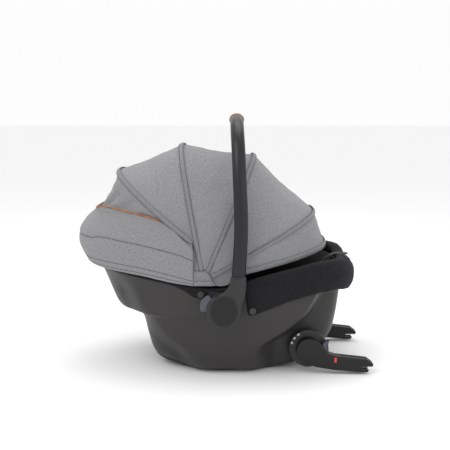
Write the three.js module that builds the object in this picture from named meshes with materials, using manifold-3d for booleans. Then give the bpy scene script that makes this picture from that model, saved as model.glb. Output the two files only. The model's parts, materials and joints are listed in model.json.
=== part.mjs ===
// Infant car seat: a rocker-bottomed carrier shell with a foam liner, padded cover and harness, a carry handle,
// a folding canopy of fabric panels on bows, and a pair of rigid anchor connectors on a cross tube.
// Millimetres. +X points to the foot end, +Z up, Y = 0 is the plane of symmetry, and the carrier stands on Z = 0.
import * as THREE from "three";
import { mergeVertices } from "three/addons/utils/BufferGeometryUtils.js";
import Module from "manifold-3d";

const wasm = await Module();
wasm.setup();

// ---------------------------------------------------------------- driving dimensions
const SHELL_WALL = 3.5;
const SHELL_RIM = 215; // nominal height of the rim before it is bent to RIM_LINE
const SHELL_HALF_WIDTH = 192; // the widest place of the shell, at the handle hubs
const SHELL_HEAD = -283; // head end of the rim
const SHELL_FOOT = 277; // foot end of the rim
const BASE_HEAD = -167; // head end of the base under the ledge
const LEDGE_HEIGHT = 134; // the step where the bucket widens above the base
const ROCKER_RADIUS = 420;
const ROCKER_FLAT = 35; // half length of the flat in the middle of the rocker
const ROCKER_MIDDLE = 20;
const FIT_GAP = 0.6; // between pieces that are assembled against each other
const RUN_GAP = 0.5; // around a pin or shaft that turns
const FOAM_THICKNESS = 22;
const LINING_THICKNESS = 3;
const INSERT_THICKNESS = 16;
const RIM_PAD_INNER = 18; // how far the padded rim reaches in over the foam
const HUB = { x: 4.4, z: 154.7, radius: 37.5 }; // handle pivot
const HANDLE_HALF_WIDTH = SHELL_HALF_WIDTH + 20; // middle of the handle tube at the boots
const HANDLE_TOP = 565;
const HANDLE_TUBE = { depth: 29, thickness: 22 };
const GRIP = { half: 88, wall: 2.2 };
const BOOT_THICKNESS = 18;
const BOOT_TOP = 229;
const AXLE_RADIUS = 8;
const CANOPY_PIVOT = { x: -38, z: 214 };
const CANOPY_HALF_WIDTH = SHELL_HALF_WIDTH - 4;
const CANOPY_FABRIC = 2.5;
const BOW_RADIUS = 3;
const PIN_RADIUS = 4;
const CONNECTOR_PIVOT = { x: 190.2, z: 51.5 };
const CONNECTOR_SPACING = 280; // between the middles of the two anchor connectors
const CONNECTOR_WIDTH = 26;
const CONNECTOR_REACH = 141; // pivot to the tip
const CROSS_TUBE_RADIUS = 8;
const PIVOT_PLATE = { radius: 42, inner: 114, outer: 125, dotRadius: 38 };
const ANCHOR_SLOT = 7; // takes a 6 mm anchor bar
const STRAP = { width: 25, thickness: 2 };

// ---------------------------------------------------------------- small maths
const { degToRad, radToDeg, lerp, smoothstep } = THREE.MathUtils;
const smooth = (t) => smoothstep(t, 0, 1);
const V = (x, y, z) => new THREE.Vector3(x, y, z);
const power = (v, p) => Math.sign(v) * Math.abs(v) ** p;
const steps = (n, make) => Array.from({ length: n }, (_, i) => make(i));

// A monotone cubic through [input, output] points, held level outside them.
function curve(points) {
  const x = points.map((p) => p[0]);
  const y = points.map((p) => p[1]);
  const last = points.length - 1;
  const slope = steps(last, (i) => (y[i + 1] - y[i]) / (x[i + 1] - x[i]));
  const tangent = x.map((_, i) => {
    if (i === 0) return slope[0];
    if (i === last) return slope[last - 1];
    const [a, b] = [slope[i - 1], slope[i]];
    return a * b <= 0 ? 0 : (2 * a * b) / (a + b);
  });
  return (v) => {
    if (v <= x[0]) return y[0];
    if (v >= x[last]) return y[last];
    const i = x.findIndex((_, k) => v < x[k + 1]);
    const h = x[i + 1] - x[i];
    const t = (v - x[i]) / h;
    return (
      y[i] * (1 + 2 * t) * (1 - t) ** 2 +
      h * tangent[i] * t * (1 - t) ** 2 +
      y[i + 1] * t * t * (3 - 2 * t) +
      h * tangent[i + 1] * t * t * (t - 1)
    );
  };
}

// ---------------------------------------------------------------- mesh makers
// A closed geometry from vertices and triangles, turned so that its faces point out.
function closedGeometry(vertices, faces) {
  let volume = 0;
  for (const [a, b, c] of faces) volume += vertices[a].dot(vertices[b].clone().cross(vertices[c]));
  const outward = volume < 0 ? faces.map(([a, b, c]) => [a, c, b]) : faces;
  const geometry = new THREE.BufferGeometry();
  geometry.setAttribute("position", new THREE.Float32BufferAttribute(vertices.flatMap((v) => v.toArray()), 3));
  geometry.setIndex(outward.flat());
  return geometry;
}

// The strip of triangles between neighbouring rows of points.
function strips(rows, columns, wrap, offset = 0) {
  const faces = [];
  for (let r = 0; r < rows - 1; r++)
    for (let c = 0; c < (wrap ? columns : columns - 1); c++) {
      const [a, b] = [offset + r * columns + c, offset + r * columns + ((c + 1) % columns)];
      faces.push([a, b, b + columns], [a, b + columns, a + columns]);
    }
  return faces;
}

// Closed rings joined one after another, with a fan over each end, or end to end when looped.
function loft(rings, looped = false) {
  const n = rings[0].length;
  const closedRings = looped ? [...rings, rings[0]] : rings;
  const vertices = closedRings.flat();
  const faces = strips(closedRings.length, n, true);
  if (looped) {
    const wrap = rings.length * n;
    return closedGeometry(vertices.slice(0, wrap), faces.map((f) => f.map((i) => i % wrap)));
  }
  for (const [start, flip] of [[0, true], [vertices.length - n, false]]) {
    const ring = closedRings[flip ? 0 : closedRings.length - 1];
    const middle = ring.reduce((sum, p) => sum.add(p), V(0, 0, 0)).divideScalar(n);
    const hub = vertices.push(middle) - 1;
    for (let i = 0; i < n; i++) {
      const [a, b] = [start + i, start + ((i + 1) % n)];
      faces.push(flip ? [b, a, hub] : [a, b, hub]);
    }
  }
  return closedGeometry(vertices, faces);
}

// A sheet of the given thickness whose outer face is the grid point(u, v), offset inwards along its normals.
function sheet(point, across, along, thickness) {
  const outer = steps(along + 1, (r) => steps(across + 1, (c) => point(c / across, r / along)));
  const inner = outer.map((row, r) =>
    row.map((p, c) => {
      const du = row[Math.min(c + 1, across)].clone().sub(row[Math.max(c - 1, 0)]);
      const dv = outer[Math.min(r + 1, along)][c].clone().sub(outer[Math.max(r - 1, 0)][c]);
      return p.clone().addScaledVector(du.cross(dv).normalize(), thickness);
    }),
  );
  const n = across + 1;
  const vertices = [...outer.flat(), ...inner.flat()];
  const half = vertices.length / 2;
  const faces = [...strips(along + 1, n, false), ...strips(along + 1, n, false, half).map(([a, b, c]) => [a, c, b])];
  const edge = [
    ...steps(across, (c) => [c + 1, c]),
    ...steps(across, (c) => [along * n + c, along * n + c + 1]),
    ...steps(along, (r) => [r * n, (r + 1) * n]),
    ...steps(along, (r) => [(r + 1) * n + across, r * n + across]),
  ];
  for (const [a, b] of edge) faces.push([a, b, b + half], [a, b + half, a + half]);
  return closedGeometry(vertices, faces);
}

// Moves a sheet's inside to the other side: the same points, run the other way round.
const mirroredSheet = (point, across, along, thickness) => sheet((u, v) => point(1 - u, v), across, along, thickness);

// A round or oval bar along a path: section(i) gives the half sizes, side is the direction of the first one.
function bar(path, side, section, corners = 10) {
  const rings = path.map((p, i) => {
    const ahead = path[Math.min(i + 1, path.length - 1)].clone().sub(path[Math.max(i - 1, 0)]).normalize();
    const across = side.clone().addScaledVector(ahead, -side.dot(ahead)).normalize();
    const up = ahead.clone().cross(across);
    const [a, b] = section(i / (path.length - 1));
    return steps(corners, (k) => {
      const t = (2 * Math.PI * k) / corners;
      return p.clone().addScaledVector(across, a * Math.cos(t)).addScaledVector(up, b * Math.sin(t));
    });
  });
  return loft(rings);
}

// An outline in the XZ plane, extruded along Y from y0 to y1.
function plate(points, y0, y1) {
  const shape = new THREE.Shape(points.map(([x, z]) => new THREE.Vector2(x, z)));
  return new THREE.ExtrudeGeometry(shape, { depth: y1 - y0, bevelEnabled: false, curveSegments: 8 })
    .rotateX(Math.PI / 2)
    .translate(0, y1, 0);
}

const disc = (at, radius, y0, y1, corners = 20) =>
  new THREE.CylinderGeometry(radius, radius, y1 - y0, corners).translate(at.x, (y0 + y1) / 2, at.z);

const block = (x0, x1, y0, y1, z0, z1) =>
  new THREE.BoxGeometry(x1 - x0, y1 - y0, z1 - z0).translate((x0 + x1) / 2, (y0 + y1) / 2, (z0 + z1) / 2);

// A geometry as a manifold solid, for cutting and joining.
function solid(geometry) {
  const bare = geometry.clone();
  for (const name of Object.keys(bare.attributes)) if (name !== "position") bare.deleteAttribute(name);
  const merged = mergeVertices(bare, 1e-4);
  return new wasm.Manifold(
    new wasm.Mesh({
      numProp: 3,
      vertProperties: merged.attributes.position.array,
      triVerts: new Uint32Array(merged.index.array),
    }),
  );
}

function geometryOf(manifold) {
  const { vertProperties, triVerts } = manifold.getMesh();
  const geometry = new THREE.BufferGeometry();
  geometry.setAttribute("position", new THREE.BufferAttribute(vertProperties, 3));
  geometry.setIndex(new THREE.BufferAttribute(triVerts, 1));
  return geometry;
}

const cut = (body, ...tools) => geometryOf(tools.reduce((rest, tool) => rest.subtract(solid(tool)), solid(body)));
const join = (...bodies) => geometryOf(bodies.map(solid).reduce((sum, body) => sum.add(body)));

// ---------------------------------------------------------------- materials
const material = (color, roughness, metalness = 0) => new THREE.MeshStandardMaterial({ color, roughness, metalness });
const SHELL_PLASTIC = material(0x454342, 0.45);
const BLACK_PLASTIC = material(0x2b2a2d, 0.5);
const BUTTON_PLASTIC = material(0x5a626e, 0.45);
const BLACK_FABRIC = material(0x1d1c20, 0.9);
const GREY_FABRIC = material(0x8f8f92, 0.95);
const TAN_LEATHER = material(0xa5632f, 0.6);
const WEBBING = material(0x232226, 0.8);
const FOAM = material(0x3a3a3c, 0.9);
const STEEL = material(0x9a9ca0, 0.3, 1);
const TUBE_PAINT = material(0x37363a, 0.35, 0.4);
const RED_PLASTIC = material(0xc8202a, 0.4);

const carSeat = new THREE.Group();
function add(name, geometry, finish) {
  const mesh = new THREE.Mesh(geometry, finish);
  mesh.name = name;
  carSeat.add(mesh);
}

// The same piece on the left (-Y) and on the right (+Y): make(side) builds it with y times side.
function addPair(name, make, finish) {
  for (const [side, word] of [[-1, "left"], [1, "right"]]) add(`${name}_${word}`, make(side), finish);
}
const span = (side, a, b) => (side < 0 ? [-b, -a] : [a, b]);

// ---------------------------------------------------------------- carrier shell
const RIM_LINE = curve([
  [SHELL_HEAD, 232], [-200, 222], [-100, 205], [-20, 193], [50, 200],
  [150, 222], [215, 235], [SHELL_FOOT, 237],
]);
const HEAD_EDGE = curve([
  [0, BASE_HEAD + 11], [8, BASE_HEAD + 6], [25, BASE_HEAD + 2], [60, BASE_HEAD - 3],
  [LEDGE_HEIGHT - 40, BASE_HEAD - 9], [LEDGE_HEIGHT - 18, BASE_HEAD - 15], [LEDGE_HEIGHT - 6, BASE_HEAD - 24],
  [LEDGE_HEIGHT, BASE_HEAD - 42], [LEDGE_HEIGHT + 5, SHELL_HEAD + 51], [160, SHELL_HEAD + 33], [SHELL_RIM, SHELL_HEAD],
]);
const FOOT_EDGE = curve([
  [0, SHELL_FOOT - 60], [8, SHELL_FOOT - 46], [25, SHELL_FOOT - 36], [60, SHELL_FOOT - 28],
  [120, SHELL_FOOT - 16], [SHELL_RIM, SHELL_FOOT],
]);
const HALF_WIDTH = curve([
  [0, SHELL_HALF_WIDTH - 74], [8, SHELL_HALF_WIDTH - 52], [25, SHELL_HALF_WIDTH - 34], [60, SHELL_HALF_WIDTH - 20],
  [110, SHELL_HALF_WIDTH - 8], [150, SHELL_HALF_WIDTH], [SHELL_RIM, SHELL_HALF_WIDTH],
]);
const HEAD_ROUNDNESS = 2.3; // superellipse exponents of the plan at the rim
const FOOT_ROUNDNESS = 3.8;
const BASE_ROUNDNESS = 3.6; // of the head end, from the ledge down
// Below these arcs the side walls step in, down to a least half width: by the connectors, and under the head.
const FOOT_RECESS = {
  x: -20, z: 330, radius: 271, run: 30, depth: 90, least: PIVOT_PLATE.inner - 9, from: 60, top: 200,
};
const HEAD_RECESS = { x: 60, z: 290, radius: 262, run: 44, depth: 28, least: 106, from: 40, top: 212 };
const RECESS_FADE = 40; // height over which a recess fades out below its top

function recessDepth(r, x, z, toFoot) {
  const beyond = (Math.hypot(x - r.x, z - r.z) - r.radius) / r.run;
  const side = smooth(((toFoot ? x : -x) - r.from) / 60);
  const depth = Math.max(0, Math.min(r.depth, HALF_WIDTH(z) - r.least));
  return depth * smooth(beyond) * side * (1 - smooth((z - r.top + RECESS_FADE) / RECESS_FADE));
}

// How far the rocker's bottom has risen off the floor at x.
const rockerRise = (x) => Math.max(0, Math.abs(x - ROCKER_MIDDLE) - ROCKER_FLAT) ** 2 / (2 * ROCKER_RADIUS);

// A point of the shell's outline at height h, angle t (0 at the foot end), moved inwards by inset.
function shellPoint(h, t, inset = 0, lift = 0) {
  const [middle, reach] = [(HEAD_EDGE(h) + FOOT_EDGE(h)) / 2, (FOOT_EDGE(h) - HEAD_EDGE(h)) / 2];
  const headEnd = lerp(BASE_ROUNDNESS, HEAD_ROUNDNESS, smooth((h - LEDGE_HEIGHT + 15) / 85));
  const n = lerp(FOOT_ROUNDNESS, headEnd, smooth((0.35 - Math.cos(t)) / 0.7));
  const along = power(Math.cos(t), 2 / n);
  const outerX = middle + reach * along;
  const stepIn = recessDepth(FOOT_RECESS, outerX, h, true) + recessDepth(HEAD_RECESS, outerX, h, false);
  const x = outerX - inset * along;
  const y = (HALF_WIDTH(h) - stepIn - inset) * power(Math.sin(t), 2 / n);
  const bend = (RIM_LINE(x) - SHELL_RIM) * smooth((h - 120) / (SHELL_RIM - 120));
  return V(x, y, h + lift + rockerRise(x) * (1 - smooth(h / 90)) + bend);
}

// Angles that space points evenly around the rim.
const OUTLINE_CORNERS = 40;
const fineTurns = steps(1440, (k) => (Math.PI * k) / 720);
const rimLengths = [0];
for (const t of fineTurns) {
  const step = shellPoint(SHELL_RIM, t).distanceTo(shellPoint(SHELL_RIM, t + Math.PI / 720));
  rimLengths.push(rimLengths.at(-1) + step);
}
const TURNS = steps(OUTLINE_CORNERS, (k) => {
  const i = rimLengths.findIndex((length) => length >= (rimLengths.at(-1) * k) / OUTLINE_CORNERS - 1e-6);
  return (Math.PI * i) / 720;
});
const around = (make) => TURNS.map(make);

// The space inside the walls, smaller by gap all round and open above the rim.
function cavity(gap) {
  const inset = SHELL_WALL + gap;
  const rows = [0, 9, 30, 60, 98, 118, 129, 135, 140, 150, 164, 180].map((h) => around((t) => shellPoint(h, t, inset, inset)));
  for (const lift of [0, 60]) rows.push(around((t) => shellPoint(SHELL_RIM, t, inset, lift)));
  return loft(rows);
}

function shell() {
  const rows = [0, 3, 9, 25, 55, 90, 110, 123, 129, 135, 140, 150, 164, 180, SHELL_RIM];
  const walls = rows.map((h) => around((t) => shellPoint(h, t)));
  const middle = (HEAD_EDGE(0) + FOOT_EDGE(0)) / 2;
  const floor = [0.08, 0.45].map((share) => walls[0].map((p) => {
    const x = lerp(middle, p.x, share);
    return V(x, share * p.y, rockerRise(x));
  }));
  const body = loft([...floor, ...walls]);
  const holes = [-1, 1].flatMap((side) => [
    disc(CONNECTOR_PIVOT, CROSS_TUBE_RADIUS + RUN_GAP, ...span(side, PIVOT_PLATE.inner / 2, SHELL_HALF_WIDTH)),
    disc(HUB, AXLE_RADIUS + FIT_GAP, ...span(side, SHELL_HALF_WIDTH - 40, SHELL_HALF_WIDTH + 40)),
  ]);
  return cut(body, cavity(0), ...holes);
}

// ---------------------------------------------------------------- foam liner, lining and insert
const SEAT_LINE = curve([
  [-262, 205], [-200, 172], [-120, 138], [-40, 112], [40, 95], [110, 92], [170, 112], [230, 165], [258, 205],
]);
const BOWL_FLATNESS = 4;
const RIM_DROP = 6; // the foam stays this much under the rim

// The seat's inner surface: share 0 at the middle, 1 at the inner edge of the padded rim.
function bowlPoint(share, t, rise = 0, inset = SHELL_WALL + RIM_PAD_INNER) {
  const edge = shellPoint(SHELL_RIM, t, inset);
  const middle = (SHELL_HEAD + SHELL_FOOT) / 2;
  const x = lerp(middle, edge.x, share);
  const height = lerp(SEAT_LINE(x), RIM_LINE(x) - RIM_DROP, share ** BOWL_FLATNESS);
  return V(x, edge.y * share, height + rise);
}

// The height of that surface over a plan point.
function bowlHeight(x, y) {
  const edgeX = x < 0 ? SHELL_HEAD + SHELL_WALL + RIM_PAD_INNER : SHELL_FOOT - SHELL_WALL - RIM_PAD_INNER;
  const n = x < 0 ? HEAD_ROUNDNESS : FOOT_ROUNDNESS;
  const middle = (SHELL_HEAD + SHELL_FOOT) / 2;
  const half = SHELL_HALF_WIDTH - 2 - SHELL_WALL - RIM_PAD_INNER;
  const share = (Math.abs((x - middle) / (edgeX - middle)) ** n + Math.abs(y / half) ** n) ** (1 / n);
  return lerp(SEAT_LINE(x), RIM_LINE(x) - RIM_DROP, Math.min(1, share) ** BOWL_FLATNESS);
}

const SHARES = [0.3, 0.56, 0.76, 0.9, 1];
const steeper = (share) => 1 + 1.6 * share ** 3; // a sloping wall needs more height for the same thickness
const bowlRow = (share, rise, inset) => around((t) => bowlPoint(share, t, rise, inset));

// The bowl's upper surface over a body that is trimmed to the space inside the shell.
function foamLiner() {
  const top = SHARES.map((s) => bowlRow(s, 0));
  const under = SHARES.map((s) => bowlRow(s, -FOAM_THICKNESS * steeper(s)));
  const flange = [-90, 0].map((rise) => bowlRow(1, rise, -8));
  return geometryOf(solid(loft([...under, ...flange, ...top.reverse()])).intersect(solid(cavity(3 * FIT_GAP))));
}

const LINING_EDGE = SHELL_WALL + RIM_PAD_INNER + 1.5;
const LINING_LIFT = 2.6; // the lining's underside above the foam
const slot = (x, y) => block(x - 3, x + 3, y - STRAP.width / 2 - 2, y + STRAP.width / 2 + 2, 0, 400);
const CROTCH_SLOT = 127;
const SHOULDER_SLOT = { x: -112, y: 47 };
const strapSlots = () =>
  [slot(CROTCH_SLOT, 0), ...[-1, 1].map((side) => slot(SHOULDER_SLOT.x, side * SHOULDER_SLOT.y))];

function lining() {
  const thickness = (s) => LINING_THICKNESS * (1 + 0.3 * s ** 3);
  const top = SHARES.map((s) => bowlRow(s, LINING_LIFT + thickness(s), LINING_EDGE));
  const under = SHARES.map((s) => bowlRow(s, LINING_LIFT, LINING_EDGE));
  return cut(loft([...under, ...top.reverse()]), ...strapSlots());
}

// A crowned cushion that follows the lining, out to a share of the bowl.
function bodyInsert() {
  const base = LINING_LIFT + 1.3 * LINING_THICKNESS + FIT_GAP;
  const shares = SHARES.slice(0, 2);
  const reach = shares.at(-1);
  const under = shares.map((s) => bowlRow(s, base, LINING_EDGE));
  const top = [shares[0], 0.47, reach].map((s) =>
    bowlRow(s, base + 4 + (INSERT_THICKNESS - 4) * (1 - (s / reach) ** 6), LINING_EDGE),
  );
  return cut(loft([...under, ...top.reverse()]), ...strapSlots());
}

// ---------------------------------------------------------------- padded rim of the cover
const SKIRT_LOW = curve([
  [-290, 224], [-113, 206], [-84, 196], [-54, 179], [-38, 177], [-24, 193.4], [44, 193.4], [50, 190], [56, 141],
  [95, 153], [145, 171], [192, 184], [240, 190], [262, 186], [SHELL_FOOT, 178],
]);
const PAD_BULGE = curve([[-290, 2], [40, 2], [60, 7], [110, 9], [200, 12], [255, 16], [SHELL_FOOT, 20]]);
const PAD_CROWN = curve([[-290, 4], [20, 4], [60, 12], [150, 14], [SHELL_FOOT, 14]]);
const STRAP_DIP = { from: 25, run: 60, depth: 10 }; // the pad is lower where the adjuster strap crosses it

function padCrown(x, y) {
  const besideStrap = smooth((Math.abs(y) - STRAP_DIP.from) / STRAP_DIP.run);
  return PAD_CROWN(x) - STRAP_DIP.depth * (1 - besideStrap) * smooth((x - 200) / 50);
}

function rimPad() {
  const sections = around((t) => {
    const at = shellPoint(SHELL_RIM, t);
    const [before, after] = [shellPoint(SHELL_RIM, t - 0.02), shellPoint(SHELL_RIM, t + 0.02)];
    const out = V(after.y - before.y, before.x - after.x, 0).normalize();
    const [low, bulge, crown] = [SKIRT_LOW(at.x), PAD_BULGE(at.x), padCrown(at.x, at.y)];
    const top = at.z + FIT_GAP + crown;
    const inner = FIT_GAP + 0.2;
    const rim = (n) => RIM_LINE(at.x + out.x * n) + FIT_GAP + 0.4;
    const outline = [
      [inner, low], [inner + 0.7 * bulge, low + 1], [inner + bulge, lerp(low, top, 0.3)],
      [inner + bulge, lerp(low, top, 0.65)], [inner + 0.6 * bulge, top - 1], [-6, top + 1],
      [-RIM_PAD_INNER, top - 2], [-RIM_PAD_INNER, rim(-RIM_PAD_INNER)], [inner, rim(inner)],
    ];
    return outline.map(([n, z]) => V(at.x + out.x * n, at.y + out.y * n, z));
  });
  const sockets = [-1, 1].map((s) => disc(HUB, HUB.radius + FIT_GAP, ...span(s, SHELL_HALF_WIDTH, bootOuter), 36));
  return cut(loft(sections, true), ...sockets);
}

// ---------------------------------------------------------------- harness
// The height of whatever the named pieces put highest over a plan point, or over its near neighbours along X.
function restHeight(names, x, y, reach = 0) {
  const pieces = carSeat.children.filter((mesh) => names.includes(mesh.name));
  const heights = [x - reach, x, x + reach].map((atX) => {
    const hits = new THREE.Raycaster(V(atX, y, 900), V(0, 0, -1)).intersectObjects(pieces);
    return hits.length ? hits[0].point.z : 0;
  });
  return Math.max(...heights);
}

// A flat strap through plan points, lying on the named pieces at a clearance that rise(v) sets.
function lyingStrap(points, width, thickness, names, rise) {
  const line = new THREE.CatmullRomCurve3(points.map(([x, y]) => V(x, y, 0)));
  const across = (u, v) => {
    const along = line.getTangentAt(v);
    return line.getPointAt(v).add(V(-along.y, along.x, 0).multiplyScalar(width * (u - 0.5)));
  };
  const heights = steps(10, (i) => {
    const samples = [0, 0.2, 0.4, 0.6, 0.8, 1].map((u) => across(u, i / 9));
    return Math.max(...samples.map((p) => restHeight(names, p.x, p.y, 4))) + rise(i / 9) + thickness;
  });
  return sheet((u, v) => across(u, v).setZ(heights[Math.round(v * 9)]), 1, 9, thickness);
}

// A flat strap of constant width across Y along points in the XZ plane.
function ribbon(points, width, thickness, y = 0) {
  const line = new THREE.CatmullRomCurve3(points.map(([x, z]) => V(x, y, z)), false, "centripetal").getSpacedPoints(12);
  const place = (u, v) => line[Math.round(v * 12)].clone().add(V(0, width * (u - 0.5), 0));
  return sheet(place, 1, 12, thickness);
}

const BUCKLE = { x: 70, length: 40, width: 34, height: 16 };
const SEAT = ["seat_lining", "body_insert"];
function harness() {
  const [front, back] = [BUCKLE.x + BUCKLE.length / 2, BUCKLE.x - BUCKLE.length / 2];
  add("crotch_pad", lyingStrap([[back - 6, 0], [80, 0], [front + 24, 0]], 42, 5, SEAT, () => 1), BLACK_FABRIC);
  const onPad = [...SEAT, "crotch_pad"];
  const base = FIT_GAP + Math.max(...[back, front].flatMap((x) => [0, 17].map((y) => restHeight(onPad, x, y, 6))));
  const top = base + BUCKLE.height;
  const button = { half: 8, front: front - 3, back: front - 17.5 };
  const well = block(button.back - RUN_GAP, front + 1, -button.half - RUN_GAP, button.half + RUN_GAP, top - 7, top + 1);
  const slots = [-1, 1].map((s) => block(back - 1, back + 13, ...span(s, 2, 15), base + 5, base + 10));
  const body = block(back, front, -BUCKLE.width / 2, BUCKLE.width / 2, base, top);
  add("buckle_body", cut(body, well, ...slots), BLACK_PLASTIC);
  add("buckle_button", block(button.back, button.front, -button.half, button.half, top - 2.5, top + 1.5), RED_PLASTIC);
  addPair("buckle_tongue", (s) => block(back - 16, back + 12, ...span(s, 2.6, 14.4), base + 5.6, base + 8.4), STEEL);
  const padTop = restHeight(onPad, front + 20, 0, 5);
  const floor = restHeight(["foam_liner"], CROTCH_SLOT, 0, 2);
  add("crotch_strap", ribbon(
    [[front + 2 * FIT_GAP, base + 8], [front + 14, padTop + 7], [front + 26, padTop + 4], [CROTCH_SLOT - 2, padTop - 1],
      [CROTCH_SLOT + 1, floor + 12], [CROTCH_SLOT + 1, floor + 1.5]],
    STRAP.width, STRAP.thickness), WEBBING);
  const overStrap = (v) => lerp(7, 1.5, smooth(v * 4));
  addPair("shoulder_strap", (s) => lyingStrap(
    [[back - 17, 14 * s], [0, 28 * s], [-50, 42 * s], [SHOULDER_SLOT.x + 5, SHOULDER_SLOT.y * s]],
    STRAP.width - 2, STRAP.thickness, SEAT, overStrap), WEBBING);
  addPair("shoulder_pad", (s) => lyingStrap(
    [[back - 26, 21 * s], [-20, 34.5 * s], [-60, 43.5 * s], [-92, 46 * s]],
    42, 6, [...SEAT, s < 0 ? "shoulder_strap_left" : "shoulder_strap_right"], () => 2.2), BLACK_FABRIC);
}

const ADJUSTER = { x0: 158, x1: 188, half: 17 };
function adjuster() {
  const { x0, x1, half } = ADJUSTER;
  const z = FIT_GAP + Math.max(...[x0, x1].flatMap((x) => [0, half].map((y) => restHeight(["seat_lining"], x, y))));
  add("adjuster_housing", cut(block(x0, x1, -half, half, z, z + 12), block(x0 + 5.5, x1 - 5.5, -8.5, 8.5, z + 5, z + 13)),
    BLACK_PLASTIC);
  add("adjuster_button", block(x0 + 6, x1 - 6, -8, 8, z + 9.5, z + 13.5), BUTTON_PLASTIC);
  const over = ["seat_lining", "rim_pad"];
  const path = [x1 + 11, 214, 228, SHELL_FOOT - 32, SHELL_FOOT - 18, SHELL_FOOT, SHELL_FOOT + 12]
    .map((x) => [x, restHeight(over, x, 0, 8) + STRAP.thickness + 1.5]);
  add("adjuster_strap", ribbon([[x1 + FIT_GAP, z + 10], ...path], STRAP.width, STRAP.thickness), WEBBING);
}

// ---------------------------------------------------------------- head support, on its height slide
const HEADREST = { x0: -196, x1: -112, half: 66, wing: 46, pad: 16 };
const headrestBase = (x, y) => bowlHeight(x, 0) + 34 + HEADREST.wing * smooth((Math.abs(y) - 30) / 42);
function headrest() {
  const at = (u, v, lift) => {
    const x = lerp(HEADREST.x0, HEADREST.x1, v);
    const y = lerp(HEADREST.half, -HEADREST.half, u);
    return V(x, y, headrestBase(x, y) + lift);
  };
  add("headrest_pad", sheet((u, v) => at(u, v, HEADREST.pad), 12, 4, HEADREST.pad - 4), BLACK_FABRIC);
  add("headrest_board", sheet((u, v) => at(0.22 + 0.56 * u, 0.1 + 0.8 * v, 2), 6, 3, 3), BLACK_PLASTIC);
}

// ---------------------------------------------------------------- hood and canopy
const HOOD_WIDEST = 281;
const HOOD_HEAD = curve([[222, SHELL_HEAD - 7], [240, -312], [254, -321], [HOOD_WIDEST, -331], [303, -329], [330, -314], [352, -290]]);
const HOOD_HALF = curve([[204, SHELL_HALF_WIDTH + 6], [HOOD_WIDEST, SHELL_HALF_WIDTH + 4], [352, SHELL_HALF_WIDTH - 10]]);
const HOOD_HEM = curve([[-290, 226], [-180, 217], [-100, 209], [-60, 206]]);
const HOOD_TOP = curve([[-290, 352], [-200, 348], [-128, 338], [-60, 282]]);
const HOOD_FRONT = -60;
const REAR_BOW = { foot: V(-57, 0, 290), top: V(-237, 0, 439), half: SHELL_HALF_WIDTH - 8, roundness: 2.4 };
const PIPING_SHARE = 0.43; // along the rear bow, where the piping ends

// A point of the rear bow's arch; along 0 at its foot, 1 at the top, side -1 or 1.
function rearBow(along, side, half = REAR_BOW.half, inset = 0) {
  const n = REAR_BOW.roundness;
  const sin = along ** (n / 2);
  const across = half * Math.sqrt(Math.max(0, 1 - sin * sin)) ** (2 / n);
  const direction = REAR_BOW.top.clone().sub(REAR_BOW.foot);
  const reach = 1 - inset / direction.length();
  const at = REAR_BOW.foot.clone().addScaledVector(direction, along * reach);
  return V(at.x, side * across, at.z);
}

// The rear bow's rod stands narrower than the folding bows, so that they pass outside its feet.
function rearBowPath() {
  const half = CANOPY_HALF_WIDTH - BOWS[4].inset - 12;
  const at = (i, side) => rearBow(0.02 + (0.98 * i) / 8, side, half, 8);
  return [...steps(9, (i) => at(i, -1)), ...steps(8, (i) => at(7 - i, 1))];
}

// A point of the hood's plan at height z; turn runs from -1 at the left front edge round the head to 1.
function hoodPoint(turn, share) {
  const middle = -5;
  const place = (z) => {
    const [reach, half] = [middle - HOOD_HEAD(z), HOOD_HALF(z)];
    const start = Math.acos(Math.min(1, (middle - HOOD_FRONT) / reach) ** (HEAD_ROUNDNESS / 2));
    const t = start * turn;
    const [c, s] = [Math.cos(t) ** (2 / HEAD_ROUNDNESS), power(Math.sin(t), 2 / HEAD_ROUNDNESS)];
    return [middle - reach * c, half * s];
  };
  const height = (x) => lerp(HOOD_HEM(x), HOOD_TOP(x), share);
  let z = HOOD_WIDEST;
  for (let pass = 0; pass < 6; pass++) z = height(place(z)[0]);
  const [x, y] = place(z);
  return V(x, y, z);
}

// The loose fabric between the hood's piping and the rear bow.
function gussetPoint(u, v) {
  const turn = 0.95 * (2 * u - 1); // short of the corner, where the piping meets the bow
  const along = lerp(1, PIPING_SHARE + 0.03, Math.abs(turn) ** 1.6);
  const high = rearBow(along, Math.sign(turn) || 1);
  const angle = (Math.PI / 2) * turn;
  const x = -136 - 150 * Math.cos(angle) ** (2 / HEAD_ROUNDNESS);
  const low = V(x, (SHELL_HALF_WIDTH - 20) * power(Math.sin(angle), 2 / HEAD_ROUNDNESS), HOOD_TOP(x) + CANOPY_FABRIC);
  const sag = 10 * Math.sin(Math.PI * v) * (1 - turn * turn);
  return low.clone().lerp(high, v * 0.94).add(V(sag, 0, -sag * 0.4));
}

const BOWS = {
  2: { angle: -11, reach: 280, inset: 9 },
  3: { angle: 22.9, reach: 273, inset: 16 },
  4: { angle: 61.5, reach: 271, inset: 23 },
};
const VISOR_ANGLE = 78.3;
const EDGE = 0.35; // degrees left on each side of a bow between neighbouring panels
const CANOPY_ROUNDNESS = 2.7;
const CANOPY_REACH = curve([[-38, 294], [-11, 288], [22.9, 281], [61.5, 279.5], [VISOR_ANGLE, 279]]);

// A point of the arch in the plane through the canopy's pivot, tilted by angle from upright.
function archPoint(angle, turn, reach, half) {
  const n = CANOPY_ROUNDNESS;
  const [c, s] = [power(Math.cos(turn), 2 / n), Math.sin(turn) ** (2 / n)];
  const a = degToRad(angle);
  return V(CANOPY_PIVOT.x + reach * s * Math.sin(a), half * c, CANOPY_PIVOT.z + reach * s * Math.cos(a));
}

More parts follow.
